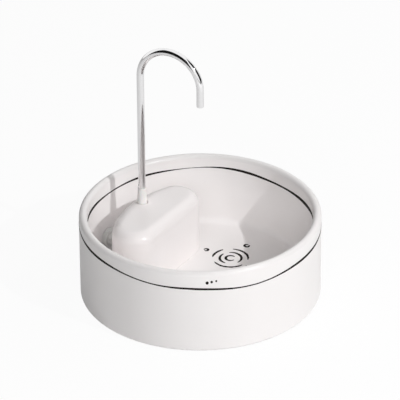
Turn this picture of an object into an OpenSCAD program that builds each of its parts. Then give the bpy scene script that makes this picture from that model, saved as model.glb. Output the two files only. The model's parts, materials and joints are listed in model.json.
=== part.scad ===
// Pet water fountain: glazed bowl, glazed pump cover, small submersible pump and swan-neck tap.
// Millimetres. Z = 0 is the surface it stands on and the bowl's axis is the Z axis.
// The pump and its cover stand at the back of the bowl, towards +Y.

/* [Bowl] */
// Outer radius of the bowl
bowl_r = 115; // [112:1:135]
// Height of the lip above the surface it stands on
bowl_top = 85.6; // [80:0.2:110]
// Thickness of the upright wall
bowl_wall = 8; // [6:0.5:9]
// Thickness of the floor
floor_t = 6; // [5:0.5:9]
// Depth of the hollow under the floor
base_recess = 4.8; // [3.2:0.2:8]
// Radius between the floor and the wall, inside
floor_fillet = 6; // [3:0.5:9]
// Radius of the bowl's bottom outer edge
edge_r = 2; // [1:0.25:3.5]
// Width of the flat land that carries the bowl
foot_land = 16; // [12:0.5:24]

/* [Foot ring] */
// Width of the soft ring under the bowl
foot_w = 6; // [4:0.5:8]
// How far the soft ring stands out below the bowl
foot_proud = 1.2; // [0.6:0.1:2]
// Depth of the groove that holds the ring
foot_seat = 2; // [1.2:0.1:2.6]

/* [Pump cover] */
// Gap between the cover's back face and the bowl's wall
cover_gap = 23; // [20:0.5:26]
// Half of the cover's width
cover_half = 57.8; // [56.8:0.2:60]
// Radius of the corners, seen from above
cover_corner = 22.5; // [21:0.5:24]
// Height of the cover above the bowl's floor
cover_h = 60.6; // [59:0.2:66]
// Wall of the cover
cover_wall = 4; // [3:0.25:4.25]
// Thickness of the cover's top
cover_top_t = 4.5; // [3.5:0.25:5]
// Radius of the top edge along the front and at the corners
cover_fillet = 11; // [8:0.5:12]
// Radius of the top edge along the back
cover_fillet_back = 15.5; // [12:0.5:16]
// Width of each water slot in the back foot of the cover
slot_w = 4; // [3:0.5:5]
// Height of each water slot
slot_h = 15; // [8:1:20]
// Angle between neighbouring water slots
slot_step = 8; // [6:0.5:8.5]
// Half of the width of the opening for the lead
port_half = 6; // [4:0.5:6.5]

/* [Tap] */
// Outer radius of the tap's tube
tap_r = 3.5; // [3.3:0.1:3.9]
// Wall of the tap's tube
tap_wall = 0.5; // [0.4:0.1:1]
// Sideways place of the tap
tap_x = 5; // [4:0.25:6]
// Distance of the tap behind the pump's shaft
tap_back = 8.8; // [8:0.2:8.8]
// Height of the centre of the tap's bend
bend_z = 209; // [170:1:240]
// Radius of the tap's bend to the middle of the tube
bend_r = 32; // [24:0.5:36]
// Length of the straight end after the bend
tap_drop = 16.8; // [8:0.2:30]
// Turn of the tap from straight forward, at rest
tap_turn = 3.8; // [-10:0.2:10]

/* [Tap sleeve] */
// Outer radius of the sleeve at its lower end
sleeve_r = 4.9; // [4.6:0.1:5.6]
// Outer radius of the sleeve at its upper end
sleeve_tip_r = 4.1; // [4:0.1:4.5]
// Height of the sleeve above the cover
sleeve_up = 16; // [10:0.5:22]
// Depth below the cover's top at which the sleeve starts to taper
sleeve_hidden = 1; // [0.5:0.25:3]
// Gap round the sleeve in the cover
sleeve_gap = 0.5; // [0.35:0.05:0.8]

/* [Pump] */
// Gap between the pump and the cover's back wall
pump_gap = 7; // [5.5:0.5:8.5]
// Outer radius of the pump chamber, and half of the motor case's width and height
pump_r = 13; // [12.75:0.25:13.5]
// Wall of the pump chamber and of the motor case
pump_wall = 1.8; // [1.5:0.1:1.9]
// Length of the motor case
motor_len = 28; // [26:0.5:30]
// Thickness of the motor case's front wall
motor_front = 3; // [2.6:0.2:4]
// Rounding of the motor case's long edges
motor_edge = 4; // [2:0.5:5]
// Length of the pump chamber
chamber_len = 13; // [12.5:0.5:14]
// Thickness of the chamber's back wall
chamber_back = 1.5; // [1.2:0.1:2]
// Thickness of the intake cover
intake_t = 2; // [1.6:0.1:2.2]
// Radius of the intake eye
eye_r = 6; // [5:0.25:6.5]
// Height of the suction feet
foot_h = 4; // [3.5:0.25:4.5]
// Radius of a suction foot's skirt
cup_r = 4.5; // [3.5:0.25:5]

/* [Motor] */
// Radius of the shaft
shaft_r = 1; // [0.8:0.1:1.1]
// Radius of the rotor magnet
magnet_r = 5; // [4.6:0.1:5.05]
// Inner radius of the rotor tube
rotor_tube_r = 5.5; // [5.4:0.1:5.6]
// Wall of the rotor tube
rotor_tube_wall = 0.8; // [0.6:0.1:0.9]
// Radius of the stator's outer ring
stator_r = 10.6; // [10.3:0.1:10.7]
// Radial width of the stator's outer ring
stator_ring = 1.6; // [1.2:0.1:1.8]
// Length of the stator
stator_len = 12; // [9:0.5:14]
// Width of a stator pole
pole_w = 3; // [2.4:0.1:3.4]
// Thickness of the winding round a pole
coil_t = 1.3; // [0.8:0.1:1.5]
// Wall of the bobbin between pole and winding
bobbin_t = 0.5; // [0.4:0.1:0.6]

/* [Impeller and gate] */
// Radius of the impeller
impeller_r = 9.4; // [8:0.2:9.8]
// Number of blades
blades = 6; // [4:1:8]
// Thickness of a blade
blade_t = 1.1; // [0.8:0.1:1.4]
// Radius of the turning shutter
gate_r = 8.6; // [7.6:0.2:9.4]
// Thickness of the turning shutter
gate_t = 1.5; // [1.2:0.1:1.8]
// Reach of the shutter's finger tab from the shaft
tab_reach = 15; // [13.5:0.5:18]

/* [Outlet] */
// Outer radius of the outlet spigot and of the socket's tail
spigot_r = 4.2; // [4:0.1:4.6]
// Bore radius of the outlet and of the socket's tail
spigot_bore = 2.8; // [2.4:0.1:3]
// Wall of the silicone hose
hose_wall = 1.6; // [1.2:0.1:2]
// Outer radius of the tap's socket
socket_r = 7; // [6.8:0.1:7.4]
// Height of the tap's socket above its tail
socket_h = 10; // [9:0.25:10.5]
// Gap between the socket and the cover's ceiling
socket_gap = 5.1; // [4:0.1:6]
// Thickness of the ring of the O-ring in the socket
oring_t = 1.6; // [1.2:0.1:1.8]

/* [Filter] */
// Length of the filter tray along X
tray_x = 26; // [24:0.5:27]
// Width of the filter tray along Y
tray_y = 23; // [21:0.5:24]
// Gap between the filter tray and the cover's back corner
tray_clear = 1.4; // [1:0.2:3]
// Height of the filter tray
tray_h = 44; // [38:1:46]
// Wall of the filter tray
tray_wall = 1.5; // [1.2:0.1:1.8]
// Thickness of the filter cartridge
cartridge_t = 14; // [11:0.5:15]
// Wall of the cartridge's frame
cartridge_wall = 1.2; // [1:0.1:1.6]
// Thickness of each felt
felt_t = 1; // [0.6:0.1:1.4]

/* [Power inlet] */
// Height of the inlet above the bowl's floor
inlet_up = 12; // [11.5:0.5:16]
// Radius of the inlet's barrel
inlet_r = 6; // [5.5:0.1:6.4]
// Radius of the inlet's flange
flange_r = 9; // [8.2:0.1:9.6]
// Thickness of the inlet's flange
flange_t = 1.1; // [0.9:0.1:1.4]
// Radius of the inlet's plug hole
plug_r = 2.8; // [2.4:0.1:3.2]
// Depth of the plug hole
plug_depth = 9.5; // [8:0.5:10.5]
// Width across the flats of the inlet's nut
nut_flats = 17; // [15:0.5:17.5]
// Thickness of the inlet's nut
nut_t = 4; // [3:0.25:5]
// Radius of the lead
lead_r = 1.8; // [1.4:0.1:2]
// Sideways place of the boot on the motor case
boot_x = -8; // [-10:0.5:-7]
// Length of the boot
boot_len = 5; // [4:0.25:5.5]

/* [Hidden] */
$fn = 96;
fine = 160;
small = 48;
eps = 0.01;
cut = 1;
face_gap = 0.3;
run_gap = 0.05;

// Bowl heights
bowl_z0 = foot_proud;
underside_z = bowl_z0 + base_recess;
floor_z = underside_z + floor_t;
bowl_in_r = bowl_r - bowl_wall;
lip_r = bowl_wall / 2;
land_r = bowl_r - foot_land;
foot_mid_r = bowl_r - foot_land / 2;

// Pump cover. Its back follows the bowl's wall, and the pump follows the cover.
cover_back_r = bowl_in_r - cover_gap;
shaft_y = cover_back_r - cover_wall - pump_gap - pump_r;
corner_x = cover_half - cover_corner;
corner_y = sqrt(pow(cover_back_r - cover_corner, 2) - pow(corner_x, 2));
cover_back_angle = atan(corner_x / corner_y);
cover_z = floor_z + cover_h;
back_posts = 9;
cover_facets = 32;
cover_in_top = cover_h - cover_top_t;
least_fillet = 1;
slots_a_side = 3;
slot_start = 4;

// Pump, along X. The outlet and the tap are over the middle of the chamber.
shaft_z = floor_z + foot_h + pump_r;
chamber_x0 = tap_x - chamber_len / 2 - chamber_back / 2;
chamber_x1 = chamber_x0 + chamber_len;
motor_x0 = chamber_x0 - motor_len;
intake_x1 = chamber_x1 + intake_t;
chamber_in_r = pump_r - pump_wall;
tube_out_r = rotor_tube_r + rotor_tube_wall;
tube_inset = 2;
tube_back_x = motor_x0 + tube_inset;
bush_len = 2;
bush_r = 3;
magnet_x0 = tube_back_x + rotor_tube_wall + bush_len + face_gap;
impeller_gap = 0.6;
impeller_x0 = chamber_x0 + chamber_back + impeller_gap;
impeller_disc = 1.2;
hub_r = 2.8;
blade_root = 0.5;
blade_drop = 1;
rotor_end_x = chamber_x1 - bush_len - face_gap;
stator_inset = 8;
stator_x0 = motor_x0 + stator_inset;
pole_gap = 0.1;
pole_tip_r = tube_out_r + pole_gap;
pole_root_r = tube_out_r - pole_gap;
bobbin_gap = 0.4;
bobbin_r0 = pole_tip_r + bobbin_gap;
ring_in_r = stator_r - stator_ring;
coil_half = pole_w / 2 + bobbin_t + coil_t;
bobbin_r1 = sqrt(pow(ring_in_r, 2) - pow(coil_half, 2)) - pole_gap;
seal_r = 0.8;
seal_mid_r = 8.5;
seal_slack = 0.1;

// Suction feet
neck_r = 1.6;
neck_seat = 1;
stem_t = 0.8;
skirt_share = 0.6;
foot_margin_back = 1;
foot_margin_front = 2;

// Gate
pin_r = 1.6;
pin_head_r = 2.6;
pin_head_t = 0.6;
gate_gap = 0.1;
gate_x0 = intake_x1 + gate_gap;
gate_x1 = gate_x0 + gate_t;
vane_angle = 60;
tab_w = 4;

// Outlet and tap. The hose joins the spigot to the socket's tail, with a gap inside it.
tap_y = shaft_y + tap_back;
socket_z1 = floor_z + cover_in_top - socket_gap;
socket_z0 = socket_z1 - socket_h;
hose_z0 = shaft_z + pump_r;
hose_z1 = socket_z0;
hose_split = 1;
spigot_top = (hose_z0 + hose_z1 - hose_split) / 2;
tail_z0 = spigot_top + hose_split;
socket_floor = 2;
tap_z0 = socket_z0 + socket_floor;
oring_share = 0.6;
oring_z = socket_z0 + socket_h * oring_share;
oring_groove_r = tap_r + run_gap + oring_t;
sleeve_z1 = cover_z + sleeve_up;
sleeve_shoulder = cover_z - sleeve_hidden;

// Filter
tray_gap = 1.5;
tray_x0 = gate_x1 + gate_gap + pin_head_t + tray_gap;
tray_x1 = tray_x0 + tray_x;
hollow_corner_r = cover_corner - cover_wall;
tray_y1 = corner_y + sqrt(pow(hollow_corner_r, 2) - pow(tray_x1 - corner_x, 2)) - tray_clear;
tray_y0 = tray_y1 - tray_y;
cart_gap = 0.3;
cart_x0 = tray_x0 + tray_wall + cart_gap;
cart_y0 = tray_y0 + tray_wall + cart_gap;
cart_w = tray_y - 2 * (tray_wall + cart_gap);
cart_z0 = floor_z + tray_wall;
cart_drop = 1;
cart_h = tray_h - tray_wall - cart_drop;
sponge_x0 = cart_x0 + cartridge_t + cart_gap;
sponge_x1 = tray_x1 - tray_wall - cart_gap;
rail = 3;
slit_sill = 6;
slit_head = 8;
slit_count = 4;

// Power inlet, on the Y axis in the back wall
inlet_z = floor_z + inlet_up;
seat_gap = 0.3;
flange_y1 = sqrt(pow(bowl_r, 2) - pow(flange_r + seat_gap, 2)) - eps;
flange_y0 = flange_y1 - flange_t;
nut_corner_r = nut_flats / 2 / cos(30);
nut_room = 0.4;
inner_seat_r = nut_corner_r + nut_room;
seat_depth = 0.5;
inner_seat_y = bowl_in_r + seat_depth;
barrel_gap = 0.1;
washer_t = 1.2;
nut_y1 = inner_seat_y - washer_t;
nut_y0 = nut_y1 - nut_t;
nose_len = 5;
nose_y = nut_y0 - nose_len;
nose_taper = 1.6;
nose_r = inlet_r - nose_taper;
pin_contact_r = 1;
pin_inset = 1;

// Lead, from the boot on the motor case to the inlet's nose
case_y1 = shaft_y + pump_r;
boot_y1 = case_y1 + boot_len;
boot_tip_t = 0.9;
boot_base_t = 2.2;
lead_run = nose_y - boot_y1;
lead_steps = 12;
lead_sides = 12;

// A cylinder along X from x0 to x1 on the pump's shaft
module on_shaft(r, x0, x1) {
    translate([x0, shaft_y, shaft_z]) rotate([0, 90, 0]) cylinder(r = r, h = x1 - x0);
}

// A cylinder along Y from y0 to y1 on the power inlet's axis
module on_inlet(r, y0, y1, sides = small) {
    translate([0, y1, inlet_z]) rotate([90, 0, 0]) cylinder(r = r, h = y1 - y0, $fn = sides);
}

// An upright cylinder on the tap's axis
module on_tap(r, z0, z1) {
    translate([tap_x, tap_y, z0]) cylinder(r = r, h = z1 - z0, $fn = small);
}

// A ring of rectangular section about the Z axis
module ring(r_mid, w, z0, h) {
    translate([0, 0, z0]) rotate_extrude($fn = fine) translate([r_mid - w / 2, 0]) square([w, h]);
}

// ---- Bowl ----

module bowl_section() {
    // foot land, outer wall, round lip, inner wall and floor
    difference() {
        union() {
            translate([0, underside_z]) square([bowl_in_r, floor_t]);
            translate([land_r, bowl_z0 + edge_r])
                square([foot_land, underside_z - bowl_z0 - edge_r]);
            translate([land_r, bowl_z0]) square([foot_land - edge_r, edge_r + eps]);
            translate([bowl_in_r, bowl_z0 + edge_r])
                square([bowl_wall, bowl_top - bowl_z0 - edge_r - lip_r]);
            translate([bowl_r - edge_r, bowl_z0 + edge_r]) circle(edge_r, $fn = small);
            translate([bowl_r - lip_r, bowl_top - lip_r]) circle(lip_r, $fn = small);
            translate([bowl_in_r - floor_fillet, floor_z]) square([floor_fillet + eps, floor_fillet]);
        }
        translate([bowl_in_r - floor_fillet, floor_z + floor_fillet])
            circle(floor_fillet, $fn = small);
    }
}

module bowl() {
    color("ghostwhite") difference() {
        rotate_extrude($fn = fine) bowl_section();
        ring(foot_mid_r, foot_w, bowl_z0 - cut, foot_seat + cut);
        on_inlet(inlet_r + barrel_gap, inner_seat_y - cut, bowl_r + cut);
        on_inlet(flange_r + seat_gap, flange_y0, bowl_r + cut);
        on_inlet(inner_seat_r, nose_y, inner_seat_y);
    }
}

module foot_ring() {
    color("dimgray") ring(foot_mid_r, foot_w, 0, foot_proud + foot_seat);
}

// ---- Pump cover ----

// Radius of the top edge at angle a from the middle of the back
function back_fillet(a) = cover_fillet_back
    + (cover_fillet - cover_fillet_back) * pow(abs(a) / cover_back_angle, 3);

// An upright post with a rounded top edge
module post(r, h, fillet) {
    rotate_extrude($fn = cover_facets) {
        square([r, h - fillet]);
        square([r - fillet, h]);
        translate([r - fillet, h - fillet]) intersection() {
            circle(fillet, $fn = cover_facets);
            square(fillet);
        }
    }
}

// The cover's outer form, or its hollow when a wall is given: posts side by side along the back.
// The posts at the two ends make the front face between them.
module cover_form(h, wall) {
    hull() for (k = [0 : back_posts - 1]) {
        a = cover_back_angle * (2 * k / (back_posts - 1) - 1);
        rotate([0, 0, a]) translate([0, cover_back_r - cover_corner, 0])
            post(cover_corner - wall, h, max(back_fillet(a) - wall, least_fillet));
    }
}

module pump_cover() {
    color("ghostwhite") difference() {
        translate([0, 0, floor_z]) cover_form(cover_h, 0);
        translate([0, 0, floor_z - eps]) cover_form(cover_in_top + eps, cover_wall);
        on_tap(sleeve_r + sleeve_gap, cover_z - cover_fillet_back, cover_z + cut);
        for (side = [-1, 1], k = [1 : slots_a_side])
            rotate([0, 0, side * (slot_start + slot_step * k)])
                translate([-slot_w / 2, cover_back_r - cover_wall - cut, floor_z - cut])
                    cube([slot_w, cover_wall + 2 * cut, slot_h + cut]);
        translate([boot_x, 0, 0]) {
            translate([-port_half, case_y1, floor_z - cut])
                cube([2 * port_half, cover_back_r - case_y1 + cut, inlet_up + cut]);
            translate([0, case_y1, inlet_z]) rotate([-90, 0, 0])
                cylinder(r = port_half, h = cover_back_r - case_y1 + cut, $fn = small);
        }
    }
}

// ---- Tap ----

module tube_section(r, wall) {
    difference() {
        circle(r, $fn = small);
        circle(r - wall, $fn = small);
    }
}

module tap_tube() {
    color("silver") translate([tap_x, tap_y, 0]) rotate([0, 0, tap_turn]) {
        translate([0, 0, tap_z0]) linear_extrude(bend_z - tap_z0) tube_section(tap_r, tap_wall);
        translate([0, -bend_r, bend_z]) rotate([90, 0, 90]) rotate_extrude(angle = 180, $fn = fine)
            translate([bend_r, 0]) tube_section(tap_r, tap_wall);
        translate([0, -2 * bend_r, bend_z - tap_drop])
            linear_extrude(tap_drop) tube_section(tap_r, tap_wall);
    }
}

module tap_sleeve() {
    color("whitesmoke") difference() {
        union() {
            on_tap(sleeve_r, socket_z1, sleeve_shoulder);
            translate([tap_x, tap_y, sleeve_shoulder])
                cylinder(r1 = sleeve_r, r2 = sleeve_tip_r, h = sleeve_z1 - sleeve_shoulder, $fn = small);
        }
        on_tap(tap_r + run_gap, socket_z1 - cut, sleeve_z1 + cut);
    }
}

module tap_socket() {
    color("gainsboro") difference() {
        union() {
            on_tap(socket_r, socket_z0, socket_z1);
            on_tap(spigot_r, tail_z0, socket_z0);
        }
        on_tap(spigot_bore, tail_z0 - cut, tap_z0 + cut);
        on_tap(tap_r + run_gap, tap_z0, socket_z1 + cut);
        on_tap(oring_groove_r, oring_z - oring_t / 2, oring_z + oring_t / 2);
    }
}

module tap_o_ring() {
    color("black") translate([tap_x, tap_y, oring_z]) rotate_extrude($fn = small)
        translate([oring_groove_r - oring_t / 2, 0]) circle(oring_t / 2, $fn = small);
}

module riser_hose() {
    color("white") difference() {
        on_tap(spigot_r + hose_wall, hose_z0, hose_z1);
        on_tap(spigot_r, hose_z0 - cut, hose_z1 + cut);
    }
}

// ---- Motor ----

module case_block(half, edge, x0, x1) {
    translate([x0, shaft_y, shaft_z]) rotate([90, 0, 90]) linear_extrude(x1 - x0) {
        square([2 * half, 2 * (half - edge)], center = true);
        square([2 * (half - edge), 2 * half], center = true);
        for (sy = [-1, 1], sz = [-1, 1])
            translate([sy * (half - edge), sz * (half - edge)]) circle(edge, $fn = small);
    }
}

module foot_places() {
    back_x = motor_x0 + cup_r + foot_margin_back;
    front_x = chamber_x0 - cup_r - foot_margin_front;
    for (x = [back_x, front_x], side = [-1, 1])
        translate([x, shaft_y + side * (pump_r - cup_r), 0]) children();
}

module pump_housing() {
    color("dimgray") difference() {
        union() {
            difference() {
                case_block(pump_r, motor_edge, motor_x0, chamber_x0);
                case_block(pump_r - pump_wall, motor_edge - pump_wall,
                    motor_x0 - cut, chamber_x0 - motor_front);
            }
            on_shaft(tube_out_r, tube_back_x, chamber_x0 - eps);
        }
        on_shaft(rotor_tube_r, tube_back_x + rotor_tube_wall, chamber_x0 + cut);
        on_shaft_ring(seal_mid_r, 2 * (seal_r + seal_slack), chamber_x0 - 2 * seal_r, chamber_x0 + cut);
        foot_places() translate([0, 0, floor_z])
            cylinder(r = neck_r, h = foot_h + neck_seat, $fn = small);
    }
}

// A ring of rectangular section on the shaft's axis
module on_shaft_ring(r_mid, w, x0, x1) {
    difference() {
        on_shaft(r_mid + w / 2, x0, x1);
        on_shaft(r_mid - w / 2, x0 - cut, x1 + cut);
    }
}

// A block standing on each stator pole, from radius r0 to r1
module pole_blocks(w, r0, r1, x0, x1) {
    translate([x0, shaft_y, shaft_z]) for (k = [0 : 3])
        rotate([90 * k, 0, 0]) translate([0, -w / 2, r0]) cube([x1 - x0, w, r1 - r0]);
}

module stator_core() {
    color("slategray") difference() {
        union() {
            on_shaft_ring(stator_r - stator_ring / 2, stator_ring, stator_x0, stator_x0 + stator_len);
            pole_blocks(pole_w, pole_root_r, stator_r - stator_ring / 2,
                stator_x0, stator_x0 + stator_len);
        }
        on_shaft(pole_tip_r, stator_x0 - cut, stator_x0 + stator_len + cut);
    }
}

module coil_bobbin() {
    grow = bobbin_t;
    color("ivory") difference() {
        pole_blocks(pole_w + 2 * grow, bobbin_r0, bobbin_r1,
            stator_x0 - grow, stator_x0 + stator_len + grow);
        pole_blocks(pole_w, bobbin_r0 - cut, bobbin_r1 + cut, stator_x0, stator_x0 + stator_len);
    }
}

module stator_coil() {
    grow = bobbin_t + coil_t;
    color("peru") difference() {
        pole_blocks(pole_w + 2 * grow, bobbin_r0, bobbin_r1,
            stator_x0 - grow, stator_x0 + stator_len + grow);
        pole_blocks(pole_w + 2 * bobbin_t, bobbin_r0 - cut, bobbin_r1 + cut,
            stator_x0 - bobbin_t, stator_x0 + stator_len + bobbin_t);
    }
}

module potting_resin() {
    grow = bobbin_t + coil_t;
    color("black") difference() {
        case_block(pump_r - pump_wall, motor_edge - pump_wall, motor_x0, chamber_x0 - motor_front);
        on_shaft(tube_out_r, tube_back_x, chamber_x0);
        on_shaft_ring(stator_r - stator_ring / 2, stator_ring, stator_x0, stator_x0 + stator_len);
        pole_blocks(pole_w, pole_root_r, stator_r - stator_ring / 2,
            stator_x0, stator_x0 + stator_len);
        pole_blocks(pole_w + 2 * grow, bobbin_r0, bobbin_r1,
            stator_x0 - grow, stator_x0 + stator_len + grow);
    }
}

module rotor_magnet() {
    color("darkslategray") difference() {
        on_shaft(magnet_r, magnet_x0, impeller_x0);
        on_shaft(shaft_r + run_gap, magnet_x0 - cut, impeller_x0 + cut);
    }
}

module impeller() {
    color("whitesmoke") difference() {
        union() {
            on_shaft(impeller_r, impeller_x0, impeller_x0 + impeller_disc);
            on_shaft(hub_r, impeller_x0, rotor_end_x);
            intersection() {
                translate([impeller_x0, shaft_y, shaft_z]) for (k = [0 : blades - 1])
                    rotate([360 / blades * k, 0, 0]) translate([0, -blade_t / 2, hub_r - blade_root])
                        cube([rotor_end_x - blade_drop - impeller_x0, blade_t, impeller_r]);
                on_shaft(impeller_r, impeller_x0, rotor_end_x);
            }
        }
        on_shaft(shaft_r + run_gap, impeller_x0 - cut, rotor_end_x + cut);
    }
}

module rotor_shaft() {
    color("lightyellow") on_shaft(shaft_r, tube_back_x + rotor_tube_wall, chamber_x1);
}

module shaft_bushes() {
    color("black") {
        on_shaft_ring((bush_r + shaft_r) / 2, bush_r - shaft_r,
            tube_back_x + rotor_tube_wall, tube_back_x + rotor_tube_wall + bush_len);
        on_shaft_ring((hub_r + shaft_r) / 2, hub_r - shaft_r, chamber_x1 - bush_len, chamber_x1);
    }
}

module chamber_seal() {
    color("black") translate([chamber_x0 - seal_r, shaft_y, shaft_z]) rotate([0, 90, 0])
        rotate_extrude($fn = small) translate([seal_mid_r, 0]) circle(seal_r, $fn = small);
}

// ---- Pump chamber and intake ----

module pump_chamber() {
    color("dimgray") difference() {
        union() {
            on_shaft(pump_r, chamber_x0, chamber_x1);
            on_tap(spigot_r, shaft_z, spigot_top);
        }
        on_shaft(chamber_in_r, chamber_x0 + chamber_back, chamber_x1 + cut);
        on_shaft(rotor_tube_r, chamber_x0 - cut, chamber_x1);
        on_tap(spigot_bore, shaft_z, spigot_top + cut);
    }
}

// Three sectors of a disc on the shaft, of angle vane_angle
module vanes(r, x0, x1) {
    translate([x0, shaft_y, shaft_z]) rotate([90, 0, 90])
        linear_extrude(x1 - x0) for (k = [0 : 2]) rotate(120 * k) intersection() {
            circle(r, $fn = small);
            polygon([[0, 0], [2 * r, 0], [2 * r * cos(vane_angle), 2 * r * sin(vane_angle)]]);
        }
}

module intake_cover() {
    color("dimgray") {
        difference() {
            on_shaft(pump_r, chamber_x1, intake_x1);
            vanes(eye_r, chamber_x1 - cut, intake_x1 + cut);
        }
        on_shaft(bush_r, chamber_x1, intake_x1);
        on_shaft(pin_r, intake_x1 - eps, gate_x1 + gate_gap + eps);
        on_shaft(pin_head_r, gate_x1 + gate_gap, gate_x1 + gate_gap + pin_head_t);
    }
}

module flow_gate() {
    color("steelblue") difference() {
        union() {
            on_shaft(gate_r, gate_x0, gate_x1);
            translate([gate_x0, shaft_y - tab_w / 2, shaft_z])
                cube([gate_t, tab_w, tab_reach]);
        }
        difference() {
            vanes(eye_r, gate_x0 - cut, gate_x1 + cut);
            on_shaft(bush_r, gate_x0 - 2 * cut, gate_x1 + 2 * cut);
        }
        on_shaft(pin_r + run_gap, gate_x0 - cut, gate_x1 + cut);
    }
}

module suction_feet() {
    color("whitesmoke") foot_places() translate([0, 0, floor_z]) {
        cylinder(r1 = cup_r, r2 = neck_r + stem_t, h = foot_h * skirt_share, $fn = small);
        cylinder(r = neck_r + stem_t, h = foot_h, $fn = small);
        cylinder(r = neck_r, h = foot_h + neck_seat, $fn = small);
    }
}

// ---- Filter ----

// Upright slits through the tray's outer wall, spread along Y
module tray_slits() {
    pitch = (tray_y - 2 * tray_wall) / slit_count;
    for (k = [0 : slit_count - 1])
        translate([tray_x1 - tray_wall - cut,
            tray_y0 + tray_wall + pitch * (k + 1 / 4), floor_z + slit_sill])
            cube([tray_wall + 2 * cut, pitch / 2, tray_h - slit_sill - slit_head]);
}

module filter_tray() {
    color("gainsboro") difference() {
        translate([tray_x0, tray_y0, floor_z]) cube([tray_x, tray_y, tray_h]);
        translate([tray_x0 + tray_wall, tray_y0 + tray_wall, floor_z + tray_wall])
            cube([tray_x - 2 * tray_wall, tray_y - 2 * tray_wall, tray_h]);
        intersection() {
            on_shaft(gate_r, tray_x0 - cut, tray_x0 + tray_wall + cut);
            translate([tray_x0 - cut, tray_y0 + tray_wall, floor_z + tray_wall])
                cube([tray_wall + 2 * cut, tray_y - 2 * tray_wall, tray_h]);
        }
        tray_slits();
    }
}

module cartridge_frame() {
    color("white") difference() {
        translate([cart_x0, cart_y0, cart_z0]) cube([cartridge_t, cart_w, cart_h]);
        translate([cart_x0 - cut, cart_y0 + rail, cart_z0 + rail])
            cube([cartridge_t + 2 * cut, cart_w - 2 * rail, cart_h - 2 * rail]);
        translate([cart_x0 + cartridge_wall, cart_y0 + cartridge_wall, cart_z0 + cartridge_wall])
            cube([cartridge_t - 2 * cartridge_wall, cart_w - 2 * cartridge_wall,
                cart_h - 2 * cartridge_wall]);
    }
}

// A slab that fills the cartridge's frame from depth x0 to x1
module cartridge_fill(x0, x1) {
    translate([cart_x0 + x0, cart_y0 + cartridge_wall, cart_z0 + cartridge_wall])
        cube([x1 - x0, cart_w - 2 * cartridge_wall, cart_h - 2 * cartridge_wall]);
}

module filter_felt() {
    color("ivory") {
        cartridge_fill(cartridge_wall, cartridge_wall + felt_t);
        cartridge_fill(cartridge_t - cartridge_wall - felt_t, cartridge_t - cartridge_wall);
    }
}

module filter_carbon() {
    color("black") cartridge_fill(cartridge_wall + felt_t, cartridge_t - cartridge_wall - felt_t);
}

module intake_sponge() {
    color("darkgray") translate([sponge_x0, cart_y0, cart_z0])
        cube([sponge_x1 - sponge_x0, cart_w, cart_h]);
}

// ---- Power inlet and lead ----

module inlet_body() {
    color("white") difference() {
        union() {
            on_inlet(flange_r, flange_y0, flange_y1);
            on_inlet(inlet_r, nut_y0, flange_y0 + eps);
            translate([0, nut_y0 + eps, inlet_z]) rotate([90, 0, 0])
                cylinder(r1 = inlet_r, r2 = nose_r, h = nose_len + eps, $fn = small);
        }
        on_inlet(plug_r, flange_y1 - plug_depth, flange_y1 + cut);
        on_inlet(lead_r, nose_y - cut, nut_y0);
    }
}

module inlet_contacts() {
    color("gold") on_inlet(pin_contact_r, flange_y1 - plug_depth, flange_y1 - pin_inset);
}

module inlet_seal() {
    color("whitesmoke") difference() {
        on_inlet(flange_r, nut_y1, inner_seat_y);
        on_inlet(inlet_r, nut_y1 - cut, inner_seat_y + cut);
    }
}

module inlet_nut() {
    color("white") difference() {
        on_inlet(nut_corner_r, nut_y0, nut_y1, 6);
        on_inlet(inlet_r, nut_y0 - cut, nut_y1 + cut);
    }
}

module lead_boot() {
    color("black") difference() {
        translate([boot_x, boot_y1, inlet_z]) rotate([90, 0, 0])
            cylinder(r1 = lead_r + boot_tip_t, r2 = lead_r + boot_base_t, h = boot_len, $fn = small);
        translate([boot_x, boot_y1 + cut, inlet_z]) rotate([90, 0, 0])
            cylinder(r = lead_r, h = boot_len + 2 * cut, $fn = small);
    }
}

// The lead's middle line: straight, then one S from the boot to the inlet's nose, then straight
function lead_x(t) = boot_x * (1 - t * t * (3 - 2 * t));
function lead_slope(t) = -boot_x * 6 * t * (1 - t) / lead_run;
function lead_place(t) = [lead_x(min(max(t, 0), 1)), boot_y1 + lead_run * t, inlet_z];
function lead_side(t) = let (a = atan(lead_slope(min(max(t, 0), 1)))) [cos(a), -sin(a), 0];

module pump_lead() {
    ends = [-(boot_len - run_gap) / lead_run, 1 + (nose_len - run_gap) / lead_run];
    stations = concat([ends[0]], [for (k = [0 : lead_steps]) k / lead_steps], [ends[1]]);
    last = len(stations) - 1;
    points = [for (t = stations, k = [0 : lead_sides - 1])
        let (a = 360 * k / lead_sides)
        lead_place(t) + (lead_r - eps) * (cos(a) * lead_side(t) + sin(a) * [0, 0, 1])];
    walls = [for (s = [0 : last - 1], k = [0 : lead_sides - 1])
        let (m = (k + 1) % lead_sides, low = s * lead_sides, high = low + lead_sides)
        [low + m, high + m, high + k, low + k]];
    first_end = [for (k = [0 : lead_sides - 1]) lead_sides - 1 - k];
    last_end = [for (k = [0 : lead_sides - 1]) last * lead_sides + k];
    color("black") polyhedron(points, concat([first_end], walls, [last_end]));
}

bowl();
foot_ring();
pump_cover();
tap_tube();
tap_sleeve();
tap_socket();
tap_o_ring();
riser_hose();
pump_housing();
potting_resin();
stator_core();
coil_bobbin();
stator_coil();
rotor_magnet();
impeller();
rotor_shaft();
shaft_bushes();
chamber_seal();
pump_chamber();
intake_cover();
flow_gate();
suction_feet();
lead_boot();
pump_lead();
filter_tray();
cartridge_frame();
filter_carbon();
filter_felt();
intake_sponge();
inlet_body();
inlet_contacts();
inlet_seal();
inlet_nut();
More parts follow.
